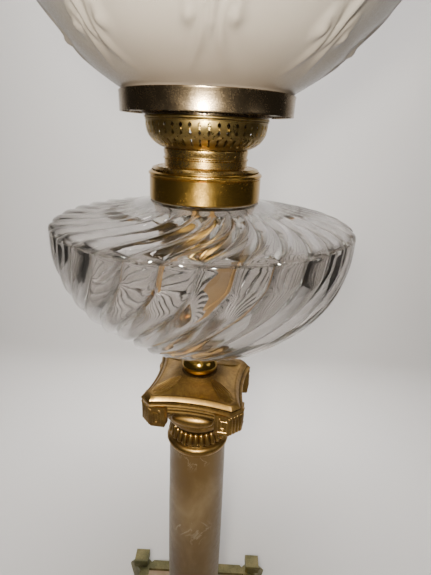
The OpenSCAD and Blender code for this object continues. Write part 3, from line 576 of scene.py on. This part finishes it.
def holeCell(bm, low, high, middle, outline):  # a flat cell one slot wide, with a hole in it
    rows = 8
    rim = bmesh.ops.create_circle(bm, segments=16 + 2 * rows, radius=1)["verts"]
    for i, v in enumerate(rim):
        if i < 8:
            spot = (i / 8, 0)
        elif i < 8 + rows:
            spot = (1, (i - 8) / rows)
        elif i < 16 + rows:
            spot = (1 - (i - 8 - rows) / 8, 1)
        else:
            spot = (0, 1 - (i - 16 - rows) / rows)
        v.co = (middle - 0.5 + spot[0], low + (high - low) * spot[1], 0)
    ring = outline + [(-x, y) for x, y in outline[-2:0:-1]]
    cut = bmesh.ops.create_circle(bm, segments=len(ring), radius=1)["verts"]
    for v, (x, y) in zip(cut, ring):
        v.co = (middle + x, y, 0)
    edges = {e for v in rim + cut for e in v.link_edges}
    bmesh.ops.bridge_loops(bm, edges=list(edges))


def makeBasket(s):
    lo, hi = nodeBox("basket")
    z, h, reach = lo.z, hi.z - lo.z, hi.x
    line = smoothLine([(26.4, 0), (reach - 10.1, 0.6), (reach - 8.3, 1.5), (reach - 5.9, 3.1),
                       (reach - 3.7, 5.3), (reach - 2, 8.2), (reach - 1.1, 11.4), (reach - 0.9, 14.4),
                       (reach - 0.9, 16)], 6)
    runs = [0]
    for a, b in zip(line, line[1:]):
        runs.append(runs[-1] + hypot(b[0] - a[0], b[1] - a[1]))
    total = runs[-1]
    bm = bmesh.new()
    for low, high, cuts in ((0, 3.2, 4), (19.9, total, 2)):
        grid = bmesh.ops.create_grid(bm, x_segments=8, y_segments=cuts, size=0.5)["verts"]
        for v in grid:
            v.co = (v.co.x, low + (high - low) * (v.co.y + 0.5), 0)
    holeCell(bm, 12.1, 19.9, 0, tallHole)
    holeCell(bm, 3.2, 10.6, 0, lowHole)
    dot = [(0.09 * sin(pi * k / 6), 11.35 - 0.45 * cos(pi * k / 6)) for k in range(7)]
    holeCell(bm, 10.6, 12.1, 0.5, dot)
    pitch, start = 2 * pi / s["slots"], radians(s["turn"])
    for v in bm.verts:
        run = min(max(v.co.y, 0), total)
        i = max(k for k in range(len(runs) - 1) if runs[k] <= run + 1e-9)
        t = (run - runs[i]) / (runs[i + 1] - runs[i])
        r, up = (line[i][k] + (line[i + 1][k] - line[i][k]) * t for k in (0, 1))
        a = start + v.co.x * pitch
        v.co = (r * mm * cos(a), r * mm * sin(a), (z + up) * mm)
    sector = bm.verts[:] + bm.edges[:] + bm.faces[:]
    bmesh.ops.spin(bm, geom=sector, cent=(0, 0, 0), axis=(0, 0, 1),
                   angle=2 * pi * (s["slots"] - 1) / s["slots"], steps=s["slots"] - 1, use_duplicate=True)
    bmesh.ops.remove_doubles(bm, verts=bm.verts, dist=2e-5)
    bmesh.ops.recalc_face_normals(bm, faces=bm.faces)
    bmesh.ops.solidify(bm, geom=bm.faces[:], thickness=s["wall"] * mm)
    addTo(bm, lathe(roundPart(reach - 0.9, z + h - 1, 0.85, -90, 270, 14)[:-1], 176, True))
    addTo(bm, lathe(roundPart(reach - 0.8, z + h - 2.4, 0.42, -90, 270, 10)[:-1], 176, True))
    addTo(bm, lathe([(25.3, z), (26.3, z), (26.7, z + 0.4), (26.7, z + 0.9), (26, z + 1.2), (25.3, z + 1.2)],
                    120, True))
    makePiece("pierceBasket", bm, finishes["basketBrass"], "gallery", ["basket"], 50)


makeCollar()
makeDrum()
makeBasket(basketSet)
print("collar, drum and basket made")


def makeShadeRing():
    lo, hi = nodeBox("shade_ring")
    z, top, r = lo.z, hi.z, hi.x
    seat = z + 2.6
    bm = lathe([(r - 6.7, seat), (r - 1.2, seat - 0.1), (r - 1.15, z + 0.4), (r - 0.8, z), (r - 0.35, z),
                (r - 0.25, z + 0.5), (r - 0.3, z + 1), (r - 0.15, top - 1.2), (r, top - 0.8), (r, top - 0.3),
                (r - 0.3, top), (r - 0.9, top), (r - 1.2, top - 0.4), (r - 1.2, seat + 1.2),
                (r - 6.7, seat + 1.2)],
               200, True)
    makePiece("shadeRingBand", bm, finishes["ringBronze"], "shade_carrier", ["shade_ring"])


shadeSet = dict(wall=3, crimps=16, crimpDeep=2.6, motifs=8, motifTurn=-87.2, steps=432, lean=2.2, lobe=0.9)


def shadeLine():
    foot = nodeBox("shade")[0].z
    ringTop = nodeBox("shade_ring")[1].z
    base = ringTop + 1.2
    rise = foot + 134 - base
    r0, wide = 51, 63
    line = [(49.5, foot), (49.5, foot + 3), (49.5, ringTop - 0.8), (50.2, ringTop + 0.5)] + smoothLine([
        (r0, base), (r0 + wide * 0.152, base + rise * 0.05), (r0 + wide * 0.335, base + rise * 0.128),
        (r0 + wide * 0.5, base + rise * 0.225), (r0 + wide * 0.692, base + rise * 0.335),
        (r0 + wide * 0.88, base + rise * 0.48), (114, base + rise * 0.65), (110.4, base + rise * 0.83),
        (112, base + rise * 0.92), (117.4, base + rise * 0.985)], 8)
    return line, base, base + rise


def bendShade(a, r, z, s, base, rim):  # soft lobes in the body, and a crimped rim
    t = ease((z - (rim - 52)) / 52)
    wave = cos(s["crimps"] * a)
    body = ease((z - base - 14) / 30) * (1 - t)
    r = r + t * s["crimpDeep"] * (wave - 1) * 0.9 + body * s["lobe"] * cos(s["motifs"] * a)
    return r, z + t * t * 2.2 * (wave - 1)


def pressedLines():  # one half of the motif: spots of (across, up from the foot, half width, height)
    arms = [
        ([(9, 15), (7, 18.5), (4.9, 23), (4, 28), (4.6, 33), (6.6, 36.6), (9.6, 37.2), (11.6, 35)], 2.2, 1.6),
        ([(8.6, 32.6), (9.8, 31.8)], 3.4, 2.9),
        ([(0, 27), (0, 34), (0, 41), (0, 50), (0, 62)], 2.3, 2.2),
        ([(2, 47), (7, 51), (12.5, 58), (12.5, 66), (8, 68.5), (6, 64.5)], 2.1, 1.1),
        ([(7.2, 64.5), (8.4, 64)], 2.8, 1.6),
        ([(2.5, 66), (7, 74), (7, 84), (3, 92), (0, 97)], 2.1, 1.1)]
    spots = []
    for points, width, height in arms:
        path = smoothLine(points, 8)
        for i, (across, up) in enumerate(path):
            end = min(i, len(path) - 1 - i) / 5
            spots.append((across, up, width * (0.65 + 0.35 * ease(end)),
                          height * (0.5 + 0.5 * ease(end)) * (0.15 + 0.85 * ease((up - 15) / 13))))
    return spots


def makeShade(s):
    line, base, rim = shadeLine()
    inner = innerLine(line[:4] + line[4::3] + [line[-1]], s["wall"])
    inner = [(p[0], max(p[1], line[0][1])) for p in inner]
    lip = [(line[-1][0] - 0.3, line[-1][1] + 1.1), (line[-1][0] - 1.5, line[-1][1] + 1.5)]
    bm = lathe(line + lip + inner[::-1], s["steps"], True)
    turn, sector = radians(s["motifTurn"]), 2 * pi / s["motifs"]
    slopes = [None] + [atan2(q[1] - p[1], q[0] - p[0]) for p, q in zip(line, line[1:])]
    row = bm.verts.layers.int["row"]
    spots = pressedLines()
    known = {}

    def press(across, up):
        key = (round(across, 2), round(up, 2))
        if key not in known:
            best = 0
            for x, y, width, height in spots:
                far = ((across - x) ** 2 + (up - y) ** 2) / (width * width)
                if far < 4:
                    best = max(best, height * exp(-far))
            known[key] = best
        return known[key]

    for v in bm.verts:
        a, r, z = atan2(v.co.y, v.co.x), hypot(v.co.x, v.co.y) / mm, v.co.z / mm
        slope = slopes[v[row]] if v[row] < len(line) else None
        newR, newZ = bendShade(a - turn, r, z, s, base, rim)
        if slope is not None:
            part = (a - turn) % sector
            lift = press(min(part, sector - part) * r, z - base + 9.5)
            newR, newZ = newR + lift * sin(slope), newZ - lift * cos(slope)
        lean = s["lean"] * ease((newZ - base) / 45)  # old glass, a little out of true
        v.co = ((newR * cos(a) + lean) * mm, newR * sin(a) * mm, newZ * mm)
    makePiece("opalShade", bm, finishes["opalGlass"], "lampshade", ["shade"], 50)


makeShadeRing()
makeShade(shadeSet)
print("shade made")


def makeTurnedBits():  # knuckle, cup and neck ring
    lo, hi = nodeBox("knuckle")
    z, h, r = lo.z, hi.z - lo.z, hi.x
    profile = [(4.6, z), (r - 3.4, z), (r - 2.6, z + 0.5)] + smoothLine([
        (r - 1.8, z + 1.4), (r - 0.4, z + h * 0.25), (r, z + h * 0.43), (r - 0.6, z + h * 0.6),
        (r * 0.86, z + h * 0.76), (r * 0.72, z + h * 0.88)], 5)
    profile += [(r * 0.78, z + h * 0.93), (r * 0.78, z + h), (4.6, z + h)]
    makePiece("brassKnuckle", lathe(profile, 96, True), finishes["knuckleBrass"], "stand", ["knuckle"])

    lo, hi = nodeBox("font_cup")
    top = hi.z
    z = top - 12.4
    profile = [(0, lo.z), (4, lo.z), (4, z), (10.4, z), (10.7, z + 0.5), (10.4, z + 1)] + smoothLine([
        (10.4, z + 1.2), (11.2, z + 3), (13.1, z + 6), (13.9, z + 8.6)], 4) + roundPart(
        14.0, z + 11.4, 0.9, -70, 100, 6) + [(11.2, top - 0.3), (11.15, z + 5), (0, z + 5)]
    makePiece("reservoirCup", lathe(profile, 96), finishes["collarBrass"], "stand", ["font_cup"])

    lo, hi = nodeBox("neck_ring")
    z, h, r = lo.z, hi.z - lo.z, hi.x
    profile = [(5, z), (r - 1.9, z), (r - 1.5, z + 0.2)] + roundPart(r - 3.7, z + h * 0.45, 3.7, -50, 80, 12)
    profile += [(r - 3.2, z + h * 0.9), (r - 2.6, z + h * 0.92), (r - 2.2, z + h * 0.96), (r - 2.4, z + h),
                (5, z + h)]
    makePiece("neckRing", lathe(profile, 128, True), finishes["gilt"], "stand", ["neck_ring"])


makeTurnedBits()


capitalSet = dict(turn=-7, reach=34.4, half=28.9, hollow=3.6, lobes=30, lift=2.4)


def abacusSpot(i, inset, s):  # point i of 64 round the abacus, drawn in by inset
    side, t = i // 16, 1 - 2 * (i % 16) / 15
    a, b = s["reach"] - inset, s["half"] - inset * (0.42 if inset > 0 else -0.35)
    x, y = b * t, a - s["hollow"] * (1 - t * t)
    q = radians(90 * side)
    return x * cos(q) - y * sin(q), x * sin(q) + y * cos(q)


def stackRings(rings, spot, count):  # a skin through rings of (inset, height, painted shade and grime)
    bm = bmesh.new()
    number = bm.verts.layers.int.new("number")
    shadeAndGrime = bm.verts.layers.float.new("shadeAndGrime")
    verts = bmesh.ops.create_circle(bm, segments=count, radius=1)["verts"]
    verts.sort(key=lambda v: atan2(v.co.y, v.co.x) % (2 * pi))
    for i, v in enumerate(verts):
        v[number] = i
    edges = bm.edges[:]
    for level, (inset, z, shadeAndGrimeAmount) in enumerate(rings):
        if level:
            made = bmesh.ops.extrude_edge_only(bm, edges=edges)["geom"]
            verts = [g for g in made if isinstance(g, bmesh.types.BMVert)]
            fresh = set(verts)
            edges = [g for g in made if isinstance(g, bmesh.types.BMEdge) and set(g.verts) <= fresh]
        for v in verts:
            x, y = spot(v[number], inset, z)
            v.co = (x * mm, y * mm, z * mm)
            v[shadeAndGrime] = shadeAndGrimeAmount
    return bm


# marks painted shade, with some grime, on every vertex of a piece
def setShadeAndGrime(bm, amount):
    layer = bm.verts.layers.float.get("shadeAndGrime") or bm.verts.layers.float.new("shadeAndGrime")
    for v in bm.verts:
        v[layer] = amount(v.co / mm) if callable(amount) else amount
    return bm


# a ball stretched to size, its upper half lifted by split
def eggShape(centre, size, turn=0, split=0.0, cols=14, rows=10):
    bm = bmesh.new()
    bmesh.ops.create_uvsphere(bm, u_segments=cols, v_segments=rows, radius=1)
    for v in bm.verts:
        up = split if v.co.z > 0.01 else 0
        v.co = [(centre[k] + size[k] * v.co[k] + (up if k == 2 else 0)) * mm for k in range(3)]
    bmesh.ops.rotate(bm, verts=bm.verts, cent=(0, 0, 0), matrix=Matrix.Rotation(turn, 3, "Z"))
    return bm


def makeCapital(s):
    lo, hi = nodeBox("capital")
    base, top = lo.z, hi.z + s["lift"]
    # the third number of each ring is painted shade with some grime: full in the abacus's grooves, none on
    # its edges
    rings = [(14, top, 0.3), (2.6, top, 0.3), (2.1, top - 0.2, 0), (0.1, top - 2.8, 0), (0.1, top - 3.1, 0),
             (1.0, top - 3.4, 1), (0.4, top - 3.7, 1), (-1.5, top - 3.8, 0.4), (-2.3, top - 4.2, 0),
             (-2.6, top - 4.9, 0), (-2.3, top - 5.7, 0), (-1.4, top - 6.2, 0.6), (1.0, top - 6.6, 1),
             (1.6, top - 8.2, 1), (0.6, top - 8.6, 0), (0.3, top - 9.3, 0), (0.6, top - 10, 0),
             (1.6, top - 10.3, 1), (1.6, top - 11.1, 0.9), (0.7, top - 11.4, 0), (0.4, top - 12.1, 0),
             (0.7, top - 12.8, 0.1),
             (1.6, top - 13.1, 1), (1.2, top - 14.2, 0.9), (3, top - 14.6, 1), (12, top - 14.8, 1)]
    bm = stackRings(rings, lambda i, inset, z: abacusSpot(i, inset, s), 64)
    neck = lathe([(5, base), (21, base), (21.6, base + 0.5), (20.6, base + 1)] + smoothLine([
        (20, base + 1.6), (19.4, base + 6), (19.6, base + 10.4), (21, base + 13), (23.8, base + 16),
        (26, base + 19.4), (26.4, base + 22), (25.6, base + 25), (24.4, base + 28)], 5)
        + [(23, base + 33), (5, base + 33)], 128, True)
    # painted shade on the neck: full low among the lobes and high under the abacus, light on the swell
    # between
    addTo(bm, setShadeAndGrime(neck, lambda p: 1.0 if p.z < base + 14 or p.z > base + 27 else 0.25))
    for k in range(s["lobes"]):
        lobe = eggShape((21.2, 0, base + 2.9), (2.1, 2.15, 2.2), 2 * pi * k / s["lobes"], 5.2, 10, 8)
        for v in lobe.verts:  # leaning out towards the ring
            lean = 1 - 0.012 * (v.co.z / mm - base - 2)
            v.co.x, v.co.y = v.co.x * lean, v.co.y * lean
        addTo(bm, setShadeAndGrime(lobe, 0.0))
    for k in range(4):
        turn = radians(90 * k)
        boss = eggShape((0, -24.6, base + 27), (15.6, 5.6, 5.4), turn, 0, 28, 16)
        # painted shade under each boss, below base + 24
        addTo(bm, setShadeAndGrime(boss, lambda p: 0.0 if p.z > base + 24 else 0.45))
        edge = [(16.4 * cos(a), -24.9 - 3.6 * sin(a) ** 0.7, base + 27.2 + 5.9 * sin(a))
                for a in [pi * j / 20 for j in range(21)]]
        line = rod(edge, 0.45, 8, lambda t: 0.5 + 0.5 * sin(pi * t))
        bmesh.ops.rotate(line, verts=line.verts, cent=(0, 0, 0), matrix=Matrix.Rotation(turn, 3, "Z"))
        addTo(bm, setShadeAndGrime(line, 0.0))
        # the corner blocks take a little painted shade and grime all over
        addTo(bm, setShadeAndGrime(cornerBlock(top, turn), 0.3))
        addTo(bm, setShadeAndGrime(cornerRelief(top, turn), 0.0))
    bmesh.ops.rotate(bm, verts=bm.verts, cent=(0, 0, 0), matrix=Matrix.Rotation(radians(s["turn"]), 3, "Z"))
    makePiece("capitalCast", bm, finishes["gilt"], "stand", ["capital"], 32)


def cornerBlock(top, turn):
    block = bmesh.new()
    plan = [(36.4, 17.4), (36.4, 28), (28, 36.4), (17.4, 36.4), (16.6, 30), (30, 16.6)]
    face = block.faces.new([block.verts.new((x * mm, y * mm, (top - 6) * mm)) for x, y in plan])
    made = bmesh.ops.extrude_face_region(block, geom=[face])["geom"]
    low = [g for g in made if isinstance(g, bmesh.types.BMVert)]
    bmesh.ops.translate(block, verts=low, vec=(0, 0, -17.6 * mm))
    lowEdges = [e for e in block.edges if e.verts[0] in low and e.verts[1] in low]
    bmesh.ops.bevel(block, geom=lowEdges, offset=3.4 * mm, offset_type="OFFSET", segments=5, profile=0.5,
                    affect="EDGES", material=-1)
    upright = [e for e in block.edges if abs((e.verts[0].co - e.verts[1].co).normalized().z) > 0.99]
    bmesh.ops.bevel(block, geom=upright, offset=0.6 * mm, offset_type="OFFSET", segments=3, profile=0.5,
                    affect="EDGES", material=-1)
    bmesh.ops.rotate(block, verts=block.verts, cent=(0, 0, 0), matrix=Matrix.Rotation(turn, 3, "Z"))
    return block


def cornerRelief(top, turn):
    relief = bmesh.new()
    scroll = [(8, -8.2), (8, -19.2), (1.8, -19.2), (1.8, -10.4), (5.7, -10.4), (5.7, -16), (3.9, -16)]
    studs = [(6.9, -8.6, 1), (4.4, -17.9, 0.95), (0.3, -8.2, 0.9)]
    for flip in (False, True):
        path = [(36.3, 28 - x, top + z) for x, z in scroll]
        spots = [(36.2, 28 - x, top + z, r) for x, z, r in studs]
        if flip:
            path = [(y, x, z) for x, y, z in path]
            spots = [(y, x, z, r) for x, y, z, r in spots]
        addTo(relief, rod(path, 0.38, 8))
        for x, y, z, r in spots:
            addTo(relief, eggShape((x, y, z), (r, r, r), 0, 0, 12, 8))
    for across in (-4.2, -1.4, 1.4, 4.2):  # reeds down the cut corner
        addTo(relief, eggShape((45.3, across, top - 20.4), (0.9, 1.15, 1.4), radians(45), 11.8, 10, 8))
    bmesh.ops.rotate(relief, verts=relief.verts, cent=(0, 0, 0), matrix=Matrix.Rotation(turn, 3, "Z"))
    return relief


def makeCap(s):
    tip = nodeBox("capital_cap")[1].z
    base = nodeBox("capital")[1].z + s["lift"]
    h = tip - base + 0.6
    corner = hypot(s["reach"] - 2.8, s["half"] - 1.2)

    def rise(t):
        return base + 0.02 + h * (0.35 * ease(t / 0.7) + 0.65 * t ** 2.2)

    def draw(r, t):
        return r + (13.2 - r) * (1 - (1 - t) ** 0.95)

    def spot(i, t, z):
        x, y = abacusSpot(i, 2.8, s)
        r, a = hypot(x, y), atan2(y, x)
        return draw(r, t) * cos(a), draw(r, t) * sin(a)

    # painted shade: at the cap's foot, growing towards the ball and full in the hole round it
    rings = [(k / 14, rise(k / 14), 0.6 if k < 1 else 0.75 * ease((k - 6) / 8)) for k in range(15)]
    bm = stackRings(rings + [(1, tip - 0.3, 1)], spot, 64)
    layer = bm.verts.layers.float["shadeAndGrime"]
    hole = [e for e in bm.edges if e.is_boundary and e.verts[0].co.z > (base + 1) * mm]
    made = bmesh.ops.extrude_edge_only(bm, edges=hole)["geom"]
    for v in [g for g in made if isinstance(g, bmesh.types.BMVert)]:
        v.co = (v.co.x * 0.4, v.co.y * 0.4, v.co.z)
        v[layer] = 1
    for k in range(4):  # leaf ribs up each diagonal
        mid = radians(45 + 90 * k)
        for across, start, stop in ((-5.6, 0.25, 0.75), (-3.4, 0.14, 0.86), (-1.2, 0.1, 0.9),
                                    (1.2, 0.1, 0.9), (3.4, 0.14, 0.86), (5.6, 0.25, 0.75)):
            path = []
            for n in range(11):
                t = start + (stop - start) * n / 10
                far = draw(corner, t) - abs(across) * 0.4 * (1 - t)
                side = across * (1.1 - 0.75 * t)
                path.append((far * cos(mid) - side * sin(mid), far * sin(mid) + side * cos(mid),
                             rise(t) + 0.15))
            addTo(bm, setShadeAndGrime(rod(path, 0.6, 8, lambda t: 0.4 + 0.6 * sin(pi * t)), 0.0))
    bmesh.ops.rotate(bm, verts=bm.verts, cent=(0, 0, 0), matrix=Matrix.Rotation(radians(s["turn"]), 3, "Z"))
    makePiece("capitalCap", bm, finishes["gilt"], "stand", ["capital_cap"], 40)


makeCapital(capitalSet)
makeCap(capitalSet)
print("capital made")


wickSet = dict(width=25, thick=2.6, twist=38, steps=60)


def makeWick(side, s):
    node = side + "_wick"
    lo, hi = nodeBox("wick_" + side)
    middle, under = (lo.x + hi.x) / 2, nodeBox("collar")[0].z - 21.5  # clear of the tube when raised
    bm = bmesh.new()
    grid = bmesh.ops.create_grid(bm, x_segments=8, y_segments=s["steps"], size=0.5)["verts"]
    for v in grid:
        across, t = v.co.x * (s["width"] - 0.4), v.co.y + 0.5
        z = hi.z + (lo.z - hi.z) * t
        loose = ease((under - z) / 50)
        turn = radians(s["twist"]) * loose * (1 if side == "left" else 0.8)
        sway = loose * 1.2 * sin(z / 9 + across / 14)
        v.co = ((middle + across * sin(turn) + sway * cos(turn)) * mm,
                (across * cos(turn) - sway * sin(turn)) * mm, z * mm)
    bmesh.ops.recalc_face_normals(bm, faces=bm.faces)
    bmesh.ops.solidify(bm, geom=bm.faces[:], thickness=s["thick"] * 0.9 * mm)
    top = [v.co.x for v in bm.verts if v.co.z > (hi.z - 2) * mm]  # the thickness went to one side
    bmesh.ops.translate(bm, verts=bm.verts, vec=(middle * mm - sum(top) / len(top), 0, 0))
    makePiece("wick" + side.title(), bm, finishes["wickCotton"], node, ["wick_" + side], 40)


for side in ("left", "right"):
    makeWick(side, wickSet)
print("wicks made")


# parts shown as the solid model has them
kept = dict(
    column_shaft="onyx", stone_slab="paleOnyx", base_frame="greenGilt", column_foot="gilt",
    foot_front_left="greenGilt", foot_front_right="greenGilt", foot_back_left="greenGilt",
    foot_back_right="greenGilt", knob_front_left="greenGilt", knob_front_right="greenGilt",
    knob_back_left="greenGilt", knob_back_right="greenGilt", foot_screws="steel", clamp_bar="castIron",
    # burner floor, wick tubes, bracket, spur wheels and dome take the darkened brass, painted shade inside
    # the burner
    rod_washer="steel", rod_nut="steel", tie_rod="steel", neck_cement="plaster", burner_floor="shadedInnerBrass",
    wick_tube_left="shadedInnerBrass", wick_tube_right="shadedInnerBrass", spindle_bushes="drumBrass",
    spindle_bracket="shadedInnerBrass", spindle_left="steel",
    spindle_right="steel", spur_wheels_left="shadedInnerBrass", spur_wheels_right="shadedInnerBrass",
    winder_knob_left="collarBrass", winder_knob_right="collarBrass", gallery_deck="basketBrass",
    chimney_prongs="basketBrass", burner_dome="shadedInnerBrass", chimney="chimneyGlass", ring_hub="ringBronze",
    ring_spokes="ringBronze")
for node, finish in kept.items():
    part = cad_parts[node]
    part.data.materials.clear()
    part.data.materials.append(finishes[finish])


# in metres: wall is how far back it stands, half the floor's half width, sink how far it lies below 0
roomSet = dict(floor=(0.64, 0.63, 0.62), wall=0.42, half=0.8, front=1.1, tall=1.3, bend=0.12, sink=0.0005,
               world=(0.04, 0.037, 0.034))


def makeRoom(s):
    mat, tree, shader, spot, out = newFinish("paleSweep", {"Roughness": 0.9})
    soft = noise(tree, spot, 6.0, 3, 0.5)
    dark = tuple(v * 0.95 for v in s["floor"])
    tree.links.new(blendColours(tree, soft, (*dark, 1), (*s["floor"], 1)), shader.inputs["Base Color"])
    # clear from behind, so that the lamp is seen from there too
    behind = addNode(tree, "ShaderNodeNewGeometry").outputs["Backfacing"]
    clear = addNode(tree, "ShaderNodeBsdfTransparent", inputs={"Color": (1, 1, 1, 1)})
    mixed = addNode(tree, "ShaderNodeMixShader", inputs={
        0: behind, 1: shader.outputs[0], 2: clear.outputs[0]})
    tree.links.new(mixed.outputs[0], out.inputs["Surface"])
    bm = bmesh.new()
    bend, sink = s["bend"], s["sink"]
    curve = [(s["wall"] - bend + bend * sin(radians(a)), bend - bend * cos(radians(a)) - sink)
             for a in range(0, 91, 6)]
    line = [(-s["front"], -sink)] + curve + [(s["wall"], s["tall"])]
    verts = [bm.verts.new((-s["half"], y, z)) for y, z in line]
    edges = [bm.edges.new(pair) for pair in zip(verts, verts[1:])]
    made = bmesh.ops.extrude_edge_only(bm, edges=edges)["geom"]
    far = [g for g in made if isinstance(g, bmesh.types.BMVert)]
    bmesh.ops.translate(bm, verts=far, vec=(2 * s["half"], 0, 0))
    mesh = bpy.data.meshes.new("paleSweep")
    bm.to_mesh(mesh)
    bm.free()
    mesh.polygons.foreach_set("use_smooth", [True] * len(mesh.polygons))
    mesh.materials.append(mat)
    sweep = bpy.data.objects.new("paleSweep", mesh)
    scene.collection.objects.link(sweep)
    world = bpy.data.worlds.new("softRoom")
    scene.world = world
    world.use_nodes = True
    world.node_tree.nodes["Background"].inputs[0].default_value = (*s["world"], 1)


def addLight(name, spot, target, size, power, colour, spread=180):
    lamp = bpy.data.lights.new(name, "AREA")
    lamp.shape = "DISK"
    lamp.size = size
    lamp.energy = power
    lamp.color = colour
    lamp.spread = radians(spread)
    holder = bpy.data.objects.new(name, lamp)
    holder.location = spot
    holder.rotation_euler = (Vector(target) - Vector(spot)).to_track_quat("-Z", "Y").to_euler()
    scene.collection.objects.link(holder)


makeRoom(roomSet)
addLight("frontLight", (-0.01, -0.31, 0.545), (0, 0, 0.44), 0.045, 3.2, (1.0, 0.93, 0.82))
addLight("softKey", (-1.0, -1.2, 1.7), (0, 0, 0.4), 0.7, 3, (1.0, 0.95, 0.88))
addLight("softFill", (1.5, -0.7, 1.1), (0, 0, 0.4), 0.8, 1.5, (1.0, 0.97, 0.93))
addLight("wallLight", (0.0, 0.0, 1.5), (0, 0.42, 0.45), 0.5, 6.5, (1.0, 0.97, 0.95), 70)
print("room lit")
